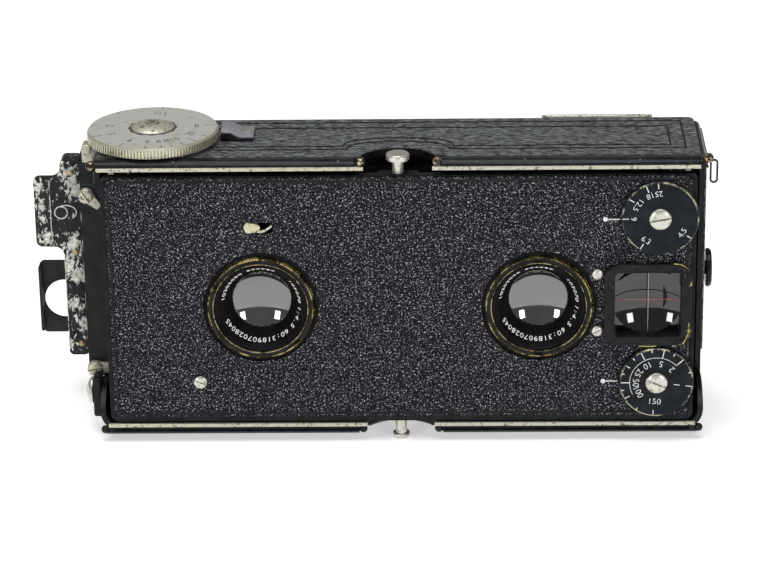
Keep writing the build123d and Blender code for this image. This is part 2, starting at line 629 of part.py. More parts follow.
BRACKET_Y_REAR = 0.4
BRACKET_T = 1.2
with BuildPart() as strut_brackets:
    for side in SIDES:
        start = BRACKET_X if side > 0 else -BRACKET_X - BRACKET_T
        with BuildSketch(Plane.YZ.offset(start)):
            with Locations(((BOARD_REAR + BRACKET_Y_REAR) / 2, (4.3 + FRAME_TOP) / 2)):
                Rectangle(BRACKET_Y_REAR - BOARD_REAR, FRAME_TOP - 4.3)
            with Locations((FRONT_PIVOT_Y, STRUT_LOW_Z)):
                Circle(PIN_R + RUNNING, mode=Mode.SUBTRACT)
            with Locations((FRONT_PIVOT_Y - SLACK / 2, (PIN_HIGH_Z + PIN_LOW_Z) / 2)):
                Rectangle(
                    2 * PIN_R + SLACK + 0.3, PIN_HIGH_Z - PIN_LOW_Z + 2 * PIN_R + 0.4, mode=Mode.SUBTRACT
                )
            with Locations(((BOARD_REAR + FINDER_REAR) / 2, FINDER_Z)):
                Rectangle(FINDER_REAR - BOARD_REAR + 0.4, FINDER_CUT_H, mode=Mode.SUBTRACT)
        extrude(amount=BRACKET_T)
save(strut_brackets.part, "strut_brackets")

# ---- lenses, each as a pair of separate solids ------------------------------------------------
RING_FRONT = FRONT - 0.4
CONE_BACK = -9.8
CELL_REAR = -8.2
GLASS_BACK, GLASS_EDGE, GLASS_BULGE = -8.6, -9.4, 1.0


def lens_axis(x):
    """Plane to revolve a lens outline in: local X is the radius, local Y runs front to back."""
    return Plane(origin=(x, 0, LENS_Z), x_dir=(1, 0, 0), z_dir=(0, 0, 1))


with BuildPart() as lens_rings:
    for lens_x, lens_z in LENSES:
        with BuildSketch(facing(COVER_REAR)):
            with Locations((lens_x, lens_z)):
                Circle(RING_R)
                Circle(11.0, mode=Mode.SUBTRACT)
        extrude(amount=COVER_REAR - RING_FRONT)
save(lens_rings.part, "lens_rings")

with BuildPart() as front_cells:
    for lens_x, lens_z in LENSES:
        with BuildSketch(lens_axis(lens_x)):
            with BuildLine():
                Polyline(
                    (11.0, RING_FRONT), (11.0, COVER_REAR), (CELL_R, COVER_REAR), (CELL_R, CELL_REAR),
                    (6.0, CELL_REAR), (6.0, CELL_REAR - 0.2), (GLASS_R, CELL_REAR - 0.2),
                    (GLASS_R, CONE_BACK), (10.6, RING_FRONT),
                    close=True,
                )
            make_face()
        revolve(axis=Axis((lens_x, 0, LENS_Z), (0, 1, 0)))
save(front_cells.part, "front_cells")

with BuildPart() as front_glasses:
    for lens_x, lens_z in LENSES:
        with BuildSketch(lens_axis(lens_x)):
            with BuildLine():
                Line((0, GLASS_BACK), (GLASS_R, GLASS_BACK))
                Line((GLASS_R, GLASS_BACK), (GLASS_R, GLASS_EDGE))
                half_r, half_h = dome_middle(GLASS_R, GLASS_BULGE)
                ThreePointArc((GLASS_R, GLASS_EDGE), (half_r, GLASS_EDGE - half_h), (0, GLASS_EDGE - GLASS_BULGE))
                Line((0, GLASS_EDGE - GLASS_BULGE), (0, GLASS_BACK))
            make_face()
        revolve(axis=Axis((lens_x, 0, LENS_Z), (0, 1, 0)))
save(front_glasses.part, "front_glasses")

REAR_CELL_REAR = STANDARD_REAR + 3.0
with BuildPart() as rear_cells:
    for lens_x, lens_z in LENSES:
        with BuildSketch(facing(REAR_CELL_REAR)):
            with Locations((lens_x, lens_z)):
                Circle(REAR_TUBE_R)
                Circle(REAR_GLASS_R, mode=Mode.SUBTRACT)
        extrude(amount=REAR_CELL_REAR - STANDARD_REAR)
save(rear_cells.part, "rear_cells")

with BuildPart() as rear_glasses:
    for lens_x, lens_z in LENSES:
        with BuildSketch(facing(REAR_CELL_REAR - 0.5)):
            with Locations((lens_x, lens_z)):
                Circle(REAR_GLASS_R)
        extrude(amount=2.0)
save(rear_glasses.part, "rear_glasses")

# ---- shutter: iris, sector blades and release lever ---------------------------------------------
IRIS_REAR = -7.1
PUPIL_R = 3.3
for iris_name, (lens_x, lens_z) in zip(("left_iris", "right_iris"), LENSES):
    with BuildPart() as iris:
        with BuildSketch(facing(IRIS_REAR)):
            with Locations((lens_x, lens_z)):
                Circle(10.2)
                with Locations((0, -11.0)):
                    Rectangle(2.4, 5.0)
                Circle(PUPIL_R, mode=Mode.SUBTRACT)
        extrude(amount=0.7)
    save(iris.part, iris_name)

for sector_name, (lens_x, lens_z) in zip(("left_sector", "right_sector"), LENSES):
    with BuildPart() as sector:
        with BuildSketch(facing(SECTOR_FRONT + SECTOR_T)):
            with Locations((lens_x, lens_z)):
                Circle(8.4)
                with Locations((0, SECTOR_ARM / 2)):
                    Rectangle(3.6, SECTOR_ARM)
                with Locations((0, SECTOR_ARM)):
                    Circle(2.2)
                    Circle(POST_R + RUNNING, mode=Mode.SUBTRACT)
        extrude(amount=SECTOR_T)
    save(sector.part, sector_name)

LEVER_REST = 5.0
LEVER_RING_REAR, LEVER_RING_T = -10.9, 0.9
TAB_FRONT = FRONT - 0.7
with BuildPart() as release_lever:
    with BuildSketch(facing(LEVER_RING_REAR)):
        with Locations(Location((-LENS_X, LENS_Z, 0), LEVER_REST)):
            Circle(13.0)
            with Locations((0, 16.2)):
                Rectangle(2.6, 8.0)
            Circle(CELL_R + RUNNING, mode=Mode.SUBTRACT)
    extrude(amount=LEVER_RING_T)
    with BuildSketch(facing(LEVER_RING_REAR)):
        with Locations(Location((-LENS_X, LENS_Z, 0), LEVER_REST)):
            with Locations((0, LEVER_R)):
                RectangleRounded(2.6, 1.8, 0.7)
    extrude(amount=LEVER_RING_REAR - TAB_FRONT)
save(release_lever.part, "release_lever")

# ---- dials on the front --------------------------------------------------------------------------
DIAL_RADII = {"aperture": APERTURE_R, "speed": SPEED_R}
DIAL_BACK = FRONT - DIAL_GAP
SLOT_ANGLES = {"aperture": 10, "speed": 20}
for dial_name, (dial_x, dial_z) in DIALS.items():
    with BuildPart() as dial:
        with BuildSketch(facing(DIAL_BACK)):
            with Locations((dial_x, dial_z)):
                Circle(DIAL_RADII[dial_name])
                Circle(DIAL_SHAFT_R, mode=Mode.SUBTRACT)
        extrude(amount=DIAL_T)
    save(dial.part, f"{dial_name}_dial")
    with BuildPart() as dial_screw:
        with BuildSketch(facing(BOARD_REAR + 0.6)):
            with Locations((dial_x, dial_z)):
                Circle(DIAL_SHAFT_R)
        extrude(amount=BOARD_REAR + 0.6 - DIAL_BACK + DIAL_T)
        with BuildSketch(facing(DIAL_BACK - DIAL_T)):
            with Locations((dial_x, dial_z)):
                Circle(2.45)
        extrude(amount=0.8)
        with BuildSketch(facing(DIAL_BACK - DIAL_T - 0.5)):
            with Locations((dial_x, dial_z)):
                Rectangle(5.2, 0.45, rotation=SLOT_ANGLES[dial_name])
        extrude(amount=0.6, mode=Mode.SUBTRACT)
    save(dial_screw.part, f"{dial_name}_screw")

# ---- finder --------------------------------------------------------------------------------------
FINDER_FRAME_T = 1.3
with BuildPart() as finder_frame:
    with BuildSketch(facing(FRONT)):
        with Locations((FINDER_X, FINDER_Z)):
            RectangleRounded(FINDER_SIZE, FINDER_SIZE, 3.6)
    extrude(amount=FINDER_FRAME_T)
    with BuildSketch(facing(FINDER_REAR)):
        with Locations((FINDER_X, FINDER_Z)):
            Rectangle(FINDER_TUBE_W, FINDER_TUBE_H)
    extrude(amount=FINDER_REAR - FRONT)
    with BuildSketch(facing(FINDER_REAR)):
        with Locations((FINDER_X, FINDER_Z)):
            RectangleRounded(FINDER_OPEN_W, FINDER_OPEN_H, 1.0)
    extrude(amount=FINDER_REAR - FRONT + FINDER_FRAME_T, mode=Mode.SUBTRACT)
save(finder_frame.part, "finder_frame")

with BuildPart() as finder_lens:
    with BuildSketch(facing(FINDER_REAR)):
        with Locations((FINDER_X, FINDER_Z)):
            RectangleRounded(FINDER_OPEN_W, FINDER_OPEN_H, 1.0)
    extrude(amount=1.4)
save(finder_lens.part, "finder_lens")

with BuildPart() as front_screws:
    places = [(COVER_SCREW_X, COVER_SCREW_Z, 1.5)] + [(FINDER_SCREW_X, z, 1.2) for z in FINDER_SCREW_Z]
    for screw_x, screw_z, head_r in places:
        with BuildSketch(facing(BOARD_REAR)):
            with Locations((screw_x, screw_z)):
                Circle(SCREW_SHANK_R)
        extrude(amount=BOARD_REAR - FRONT)
        with BuildSketch(facing(FRONT)):
            with Locations((screw_x, screw_z)):
                Circle(head_r)
        extrude(amount=0.5)
        with BuildSketch(facing(FRONT - 0.25)):
            with Locations((screw_x, screw_z)):
                Rectangle(2 * head_r + 0.2, 0.4, rotation=-12)
        extrude(amount=0.5, mode=Mode.SUBTRACT)
save(front_screws.part, "front_screws")

# ---- scissor struts ------------------------------------------------------------------------------
def arm_outline(pivot_y, lean):
    """Outline of one arm in the YZ plane, from its lower pivot up to its sliding pin."""
    with Locations(Location((pivot_y, STRUT_LOW_Z, 0), lean)):
        with Locations((0, STRUT_L / 2)):
            SlotCenterToCenter(STRUT_L, 2 * STRUT_HALF_W, rotation=90)
            Circle(3.2)


LEAN = START_ANGLE * 180 / pi
CENTRE_Z = STRUT_LOW_Z + STRUT_L / 2 * cos(START_ANGLE)
CENTRE_Y = (REAR_PIVOT_Y + FRONT_PIVOT_Y) / 2


def across(side, near, far):
    """Start plane offset and length, along X, of a solid between two distances from the middle."""
    return (near if side > 0 else -far), far - near


with BuildPart() as rear_arms:
    for side in SIDES:
        start, length = across(side, REAR_ARM_X, REAR_ARM_X + STRUT_T)
        with BuildSketch(Plane.YZ.offset(start)):
            arm_outline(REAR_PIVOT_Y, LEAN)
        extrude(amount=length)
        start, length = across(side, REAR_ARM_X + STRUT_T, RAIL_X + RAIL_T)
        with BuildSketch(Plane.YZ.offset(start)):
            with Locations((REAR_PIVOT_Y, STRUT_LOW_Z)):
                Circle(PIN_R)
        extrude(amount=length)
        start, length = across(side, BRACKET_X, REAR_ARM_X)
        with BuildSketch(Plane.YZ.offset(start)):
            with Locations((FRONT_PIVOT_Y, PIN_HIGH_Z)):
                Circle(PIN_R)
        extrude(amount=length)
        start, length = across(side, FRONT_ARM_X, REAR_ARM_X)
        with BuildSketch(Plane.YZ.offset(start)):
            with Locations((CENTRE_Y, CENTRE_Z)):
                Circle(PIN_R)
        extrude(amount=length)
save(rear_arms.part, "rear_arms")

with BuildPart() as front_arms:
    for side in SIDES:
        start, length = across(side, FRONT_ARM_X, FRONT_ARM_X + STRUT_T)
        with BuildSketch(Plane.YZ.offset(start)):
            arm_outline(FRONT_PIVOT_Y, -LEAN)
            with Locations((CENTRE_Y, CENTRE_Z)):
                Circle(PIN_R + SLACK + RUNNING, mode=Mode.SUBTRACT)
        extrude(amount=length)
        start, length = across(side, BRACKET_X, FRONT_ARM_X)
        with BuildSketch(Plane.YZ.offset(start)):
            with Locations((FRONT_PIVOT_Y, STRUT_LOW_Z)):
                Circle(PIN_R)
        extrude(amount=length)
        start, length = across(side, FRONT_ARM_X + STRUT_T, RAIL_X + RAIL_T)
        with BuildSketch(Plane.YZ.offset(start)):
            with Locations((REAR_PIVOT_Y, PIN_HIGH_Z)):
                Circle(PIN_R)
        extrude(amount=length)
save(front_arms.part, "front_arms")

# ---- focusing frame, bellows and septum ----------------------------------------------------------
BELLOWS_HALF_W, BELLOWS_BOTTOM, BELLOWS_TOP, BELLOWS_T = 57.0, 9.0, 58.0, 1.6
BELLOWS_GAP = 0.1
TONGUE_Z, TONGUE_T = 59.3, 1.3
RAIL_FRONT = 1.6
CAM_BOTTOM, CAM_TOP, CAM_FLOOR = 61.0, 63.0, 62.4
TRACK_DEPTH = 0.5

with BuildPart() as focus_frame:
    with BuildSketch(facing(FRAME_Y + FRAME_T)):
        with Locations((0, (FRAME_BOTTOM + FRAME_TOP) / 2)):
            RectangleRounded(2 * (RAIL_X + RAIL_T), FRAME_TOP - FRAME_BOTTOM, 1.5)
        with Locations((0, (BELLOWS_BOTTOM + BELLOWS_TOP) / 2)):
            Rectangle(
                2 * (BELLOWS_HALF_W - BELLOWS_T), BELLOWS_TOP - BELLOWS_BOTTOM - 2 * BELLOWS_T,
                mode=Mode.SUBTRACT,
            )
        with Locations((EYEPIECE_X, FINDER_Z)):
            Circle(EYEPIECE_HOLE_R + 0.4, mode=Mode.SUBTRACT)
        # gap that the cam turns in when the frame is drawn right forward
        with Locations((DIAL_X, (CAM_BOTTOM - 0.3 + FRAME_TOP + OVER) / 2)):
            Rectangle(2 * CAM_R, FRAME_TOP + OVER - CAM_BOTTOM + 0.3, mode=Mode.SUBTRACT)
    extrude(amount=FRAME_T)
    # shallow tracks for the ends of the front arms
    with BuildSketch(facing(FRAME_Y + TRACK_DEPTH)):
        with Locations(*[
            (side * (FRONT_ARM_X + STRUT_T / 2), (PIN_HIGH_Z + PIN_LOW_Z) / 2) for side in SIDES
        ]):
            Rectangle(STRUT_T + 0.2, PIN_HIGH_Z - PIN_LOW_Z + 6.0)
    extrude(amount=TRACK_DEPTH, mode=Mode.SUBTRACT)
    for side in SIDES:
        start, length = across(side, RAIL_X, RAIL_X + RAIL_T)
        with BuildSketch(Plane.YZ.offset(start)):
            with Locations(((RAIL_FRONT + FRAME_Y) / 2, (FRAME_BOTTOM + FRAME_TOP) / 2)):
                Rectangle(FRAME_Y - RAIL_FRONT, FRAME_TOP - FRAME_BOTTOM)
        extrude(amount=length)
        with BuildSketch(Plane.YZ.offset(start)):
            with Locations((REAR_PIVOT_Y, STRUT_LOW_Z)):
                Circle(PIN_R + RUNNING)
            with Locations((REAR_PIVOT_Y + SLACK / 2, (PIN_HIGH_Z + PIN_LOW_Z) / 2)):
                Rectangle(2 * PIN_R + SLACK + 0.3, PIN_HIGH_Z - PIN_LOW_Z + 2 * PIN_R + 0.4)
        extrude(amount=length, mode=Mode.SUBTRACT)
    # tongue that carries the pin which rides in the cam's spiral
    with BuildSketch(Plane.XY.offset(TONGUE_Z)):
        with Locations((DIAL_X, (FRAME_Y - 3.2) / 2)):
            Rectangle(5.0, FRAME_Y + 3.2)
    extrude(amount=TONGUE_T)
    with BuildSketch(Plane.XY.offset(TONGUE_Z + TONGUE_T)):
        with Locations((DIAL_X, DIAL_Y - CAM_START_R)):
            Circle(CAM_PIN_R)
    extrude(amount=CAM_FLOOR - 0.2 - TONGUE_Z - TONGUE_T)
save(focus_frame.part, "focus_frame")

with BuildPart() as bellows:
    with BuildSketch(facing(FRAME_Y - BELLOWS_GAP)):
        with Locations((0, (BELLOWS_BOTTOM + BELLOWS_TOP) / 2)):
            Rectangle(2 * BELLOWS_HALF_W, BELLOWS_TOP - BELLOWS_BOTTOM)
            Rectangle(
                2 * (BELLOWS_HALF_W - BELLOWS_T), BELLOWS_TOP - BELLOWS_BOTTOM - 2 * BELLOWS_T,
                mode=Mode.SUBTRACT,
            )
    extrude(amount=FRAME_Y - STANDARD_REAR - 2 * BELLOWS_GAP)
save(bellows.part, "bellows")

with BuildPart() as septum:
    with BuildSketch(facing(FRAME_Y - BELLOWS_GAP)):
        with Locations((0, (BELLOWS_BOTTOM + BELLOWS_TOP) / 2)):
            Rectangle(0.8, BELLOWS_TOP - BELLOWS_BOTTOM - 2 * BELLOWS_T - 0.2)
    extrude(amount=FRAME_Y - STANDARD_REAR - 2 * BELLOWS_GAP)
save(septum.part, "septum")

# ---- focusing dial, hub and cam shaft ------------------------------------------------------------
with BuildPart() as focus_dial:
    with BuildSketch(Plane.XY.offset(DIAL_BOTTOM)):
        with Locations((DIAL_X, DIAL_Y)):
            Circle(DIAL_R)
            Circle(SHAFT_R, mode=Mode.SUBTRACT)
    extrude(amount=DIAL_TOP - DIAL_BOTTOM)
    chamfer(focus_dial.edges().filter_by(GeomType.CIRCLE).group_by(SortBy.RADIUS)[-1], 0.3)
save(focus_dial.part, "focus_dial")

HUB_R, HUB_H = 4.9, 1.4
with BuildPart() as dial_hub:
    with BuildSketch(Plane.XZ.offset(-DIAL_Y)):
        with BuildLine():
            Line((DIAL_X, DIAL_TOP), (DIAL_X + HUB_R, DIAL_TOP))
            half_r, half_h = dome_middle(HUB_R, HUB_H)
            ThreePointArc(
                (DIAL_X + HUB_R, DIAL_TOP), (DIAL_X + half_r, DIAL_TOP + half_h), (DIAL_X, DIAL_TOP + HUB_H)
            )
            Line((DIAL_X, DIAL_TOP + HUB_H), (DIAL_X, DIAL_TOP))
        make_face()
    revolve(axis=Axis((DIAL_X, DIAL_Y, 0), (0, 0, 1)))
save(dial_hub.part, "dial_hub")


GROOVE_RUN_OUT = 0.38


def spiral(gap):
    """Points of one wall of the spiral groove, gap away from the pin's centre line."""
    reach = FOCUS_TURN + 2 * GROOVE_RUN_OUT
    growth = FOCUS_TRAVEL / FOCUS_TURN
    points = []
    for step in range(33):
        turn = reach * step / 32 - GROOVE_RUN_OUT
        radius = CAM_START_R + growth * turn + gap
        points.append((DIAL_X + radius * cos(-pi / 2 - turn), DIAL_Y + radius * sin(-pi / 2 - turn)))
    return points


GROOVE_HALF_W = CAM_PIN_R + 0.08
with BuildPart() as focus_shaft:
    with BuildSketch(Plane.XY.offset(CAM_BOTTOM)):
        with Locations((DIAL_X, DIAL_Y)):
            Circle(SHAFT_R)
    extrude(amount=DIAL_TOP - CAM_BOTTOM)
    with BuildSketch(Plane.XY.offset(CAM_BOTTOM)):
        with Locations((DIAL_X, DIAL_Y)):
            Circle(CAM_R)
    extrude(amount=CAM_TOP - CAM_BOTTOM)
    with BuildSketch(Plane.XY.offset(CAM_BOTTOM)):
        with BuildLine():
            inner = spiral(-GROOVE_HALF_W)
            outer = spiral(GROOVE_HALF_W)
            Spline(*inner)
            Spline(*outer)
            Line(inner[0], outer[0])
            Line(inner[-1], outer[-1])
        make_face()
    extrude(amount=CAM_FLOOR - CAM_BOTTOM, mode=Mode.SUBTRACT)
save(focus_shaft.part, "focus_shaft")

# ---- plate holder, plate and dark slide ----------------------------------------------------------
GRIP_LEFT, GRIP_RIGHT = -79.5, HOLDER_LEFT
GRIP_LOW, GRIP_HIGH = 7.6, 56.7
SHOULDER_R = 2.2
SHEET_FRONT, SHEET_T = HOLDER_FRONT + 0.6, 0.4
SHEET_GAP = 0.1
CHAMBER_FRONT, CHAMBER_T = HOLDER_FRONT + 1.6, 1.7
PLATE_W, PLATE_H, PLATE_GLASS_T = 107.0, 45.0, 1.3
TAB_LEFT, TAB_LOW, TAB_HIGH, TAB_T = -85.9, 35.2, 52.8, 0.8

def inner_corners(tab):
    """Corners of the flat outline where the tab meets the strip."""
    return [
        corner for corner in tab.vertices()
        if abs(corner.X - GRIP_LEFT) < 0.01 and min(abs(corner.Y - TAB_LOW), abs(corner.Y - TAB_HIGH)) < 0.01
    ]


with BuildPart() as plate_holder:
    with BuildSketch(facing(HOLDER_REAR)):
        with Locations(((HOLDER_LEFT + HOLDER_RIGHT) / 2, MID_Z)):
            Rectangle(HOLDER_RIGHT - HOLDER_LEFT, 2 * HOLDER_HALF_H)
    extrude(amount=HOLDER_T)
    with BuildSketch(facing(HOLDER_REAR)):
        with Locations(((GRIP_LEFT + GRIP_RIGHT) / 2, (GRIP_LOW + GRIP_HIGH) / 2)):
            RectangleRounded(GRIP_RIGHT - GRIP_LEFT, GRIP_HIGH - GRIP_LOW, 1.2)
    extrude(amount=HOLDER_REAR - GRIP_FRONT)
    with BuildSketch(facing(GRIP_FRONT + TAB_T)) as tab:
        with Locations(((TAB_LEFT + GRIP_RIGHT) / 2, (TAB_LOW + TAB_HIGH) / 2)):
            RectangleRounded(GRIP_RIGHT - TAB_LEFT, TAB_HIGH - TAB_LOW, 1.5)
        with Locations(((GRIP_LEFT + GRIP_RIGHT) / 2, (GRIP_LOW + GRIP_HIGH) / 2)):
            Rectangle(GRIP_RIGHT - GRIP_LEFT, GRIP_HIGH - GRIP_LOW - 2.6)
        fillet(inner_corners(tab), SHOULDER_R)
    extrude(amount=TAB_T)
    # plate chamber, two windows and the slot for the dark slide
    with BuildSketch(facing(CHAMBER_FRONT + CHAMBER_T)):
        with Locations((0, MID_Z)):
            Rectangle(PLATE_W + 0.6, PLATE_H + 0.6)
    extrude(amount=CHAMBER_T, mode=Mode.SUBTRACT)
    with BuildSketch(facing(CHAMBER_FRONT + 0.1)):
        with Locations((-LENS_X, MID_Z), (LENS_X, MID_Z)):
            Rectangle(IMAGE_W, IMAGE_H)
    extrude(amount=CHAMBER_FRONT + 0.1 - HOLDER_FRONT + OVER, mode=Mode.SUBTRACT)
    with BuildSketch(facing(SHEET_FRONT + SHEET_T + SHEET_GAP)):
        with Locations(((GRIP_LEFT - OVER + HOLDER_RIGHT - 1.5) / 2, MID_Z)):
            Rectangle(HOLDER_RIGHT - 1.5 - GRIP_LEFT + OVER, 2 * (SLIDE_HALF_H + SHEET_GAP))
    extrude(amount=SHEET_T + 2 * SHEET_GAP, mode=Mode.SUBTRACT)
save(plate_holder.part, "plate_holder")

with BuildPart() as glass_plate:
    with BuildSketch(facing(CHAMBER_FRONT + 0.1 + PLATE_GLASS_T)):
        with Locations((0, MID_Z)):
            Rectangle(PLATE_W, PLATE_H)
    extrude(amount=PLATE_GLASS_T)
save(glass_plate.part, "glass_plate")

PULL_LEFT, PULL_RIGHT, PULL_LOW, PULL_HIGH = -85.1, -79.6, 12.8, 31.1
THUMB_X, THUMB_Z, THUMB_R = -80.1, 21.4, 4.75
with BuildPart() as dark_slide:
    with BuildSketch(facing(SHEET_FRONT + SHEET_T)):
        with Locations(((PULL_RIGHT + HOLDER_RIGHT - 2.0) / 2, MID_Z)):
            Rectangle(HOLDER_RIGHT - 2.0 - PULL_RIGHT, 2 * SLIDE_HALF_H)
        with Locations(((PULL_LEFT + PULL_RIGHT) / 2, (PULL_LOW + PULL_HIGH) / 2)):
            RectangleRounded(PULL_RIGHT - PULL_LEFT + 1.6, PULL_HIGH - PULL_LOW, 1.5)
        with Locations((THUMB_X, THUMB_Z)):
            Circle(THUMB_R, mode=Mode.SUBTRACT)
    extrude(amount=SHEET_T)
    with BuildSketch(facing(SHEET_FRONT + SHEET_T)):
        with Locations((PULL_LEFT - 0.4, (PULL_LOW + PULL_HIGH) / 2)):
            RectangleRounded(0.8, PULL_HIGH - PULL_LOW - 2.0, 0.3)
    extrude(amount=2.2)
save(dark_slide.part, "dark_slide")
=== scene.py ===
"""Folding stereo camera for 45 x 107 mm plates: its visible surfaces, finishes, lights and view.

Sizes are in millimetres until a piece is set in place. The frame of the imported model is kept:
origin at the tripod socket on the base plane, front towards -Y, +Z up.
"""

from __future__ import annotations

import logging
import math
from collections.abc import Callable, Iterable, Sequence
from dataclasses import dataclass
from enum import Enum

import bpy
from mathutils import Matrix, Vector


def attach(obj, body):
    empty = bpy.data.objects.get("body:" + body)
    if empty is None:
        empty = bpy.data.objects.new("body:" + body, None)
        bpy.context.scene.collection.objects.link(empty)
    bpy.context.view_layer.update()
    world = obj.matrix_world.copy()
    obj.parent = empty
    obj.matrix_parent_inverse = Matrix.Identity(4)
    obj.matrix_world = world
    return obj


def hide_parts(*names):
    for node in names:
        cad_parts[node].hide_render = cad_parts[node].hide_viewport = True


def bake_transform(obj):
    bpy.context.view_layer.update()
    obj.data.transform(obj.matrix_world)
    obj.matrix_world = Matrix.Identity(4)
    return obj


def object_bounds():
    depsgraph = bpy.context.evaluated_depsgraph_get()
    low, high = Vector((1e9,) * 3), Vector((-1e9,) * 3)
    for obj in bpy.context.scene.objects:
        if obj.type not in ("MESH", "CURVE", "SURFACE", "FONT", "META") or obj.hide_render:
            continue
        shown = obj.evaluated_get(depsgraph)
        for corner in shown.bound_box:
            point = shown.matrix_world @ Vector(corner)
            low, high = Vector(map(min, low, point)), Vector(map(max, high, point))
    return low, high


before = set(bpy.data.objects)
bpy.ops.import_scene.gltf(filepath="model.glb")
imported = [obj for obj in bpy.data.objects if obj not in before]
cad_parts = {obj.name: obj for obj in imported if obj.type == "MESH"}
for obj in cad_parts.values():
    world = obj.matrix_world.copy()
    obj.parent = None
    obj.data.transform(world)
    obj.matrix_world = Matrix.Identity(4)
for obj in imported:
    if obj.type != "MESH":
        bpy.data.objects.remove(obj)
CAD_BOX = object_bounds()

LOG = logging.getLogger("stereo_camera")
MM = 0.001

Colour = tuple[float, float, float]
Point = tuple[float, float, float]
Spot = tuple[float, float]
Profile = Sequence[Spot]
Socket = bpy.types.NodeSocket

EVEN: Point = (1.0, 1.0, 1.0)    # a pattern that isn't stretched
COVER_FRONT = -15.6              # front face of the pebbled cover
DIGIT_TURN = 90.0                # numbers on the dials stand with their feet outwards


class Facing(Enum):
    """Which way a piece's own +Z looks once it is set in place: its turns about X and Z."""

    TOP = (0, 0)
    FRONT = (90, 0)
    RIGHT = (90, 90)
    LEFT = (90, -90)

    def matrix(self) -> Matrix:
        """Turn from the bench to this facing."""
        about_x, about_z = (math.radians(turn) for turn in self.value)
        return Matrix.Rotation(about_z, 4, "Z") @ Matrix.Rotation(about_x, 4, "X")


class Element(Enum):
    """What a selection picks."""

    POINTS = "VERT"
    FACES = "FACE"


class Slot(Enum):
    """Material slots of the record."""

    BLACK_PAINT = "black_paint"
    LEATHER = "leather"
    PEBBLE = "pebble"
    NICKEL = "nickel"
    BRASS = "brass"
    STEEL = "steel"
    GLASS = "glass"
    CLOTH = "cloth"


# ---- finishes ----------------------------------------------------------------


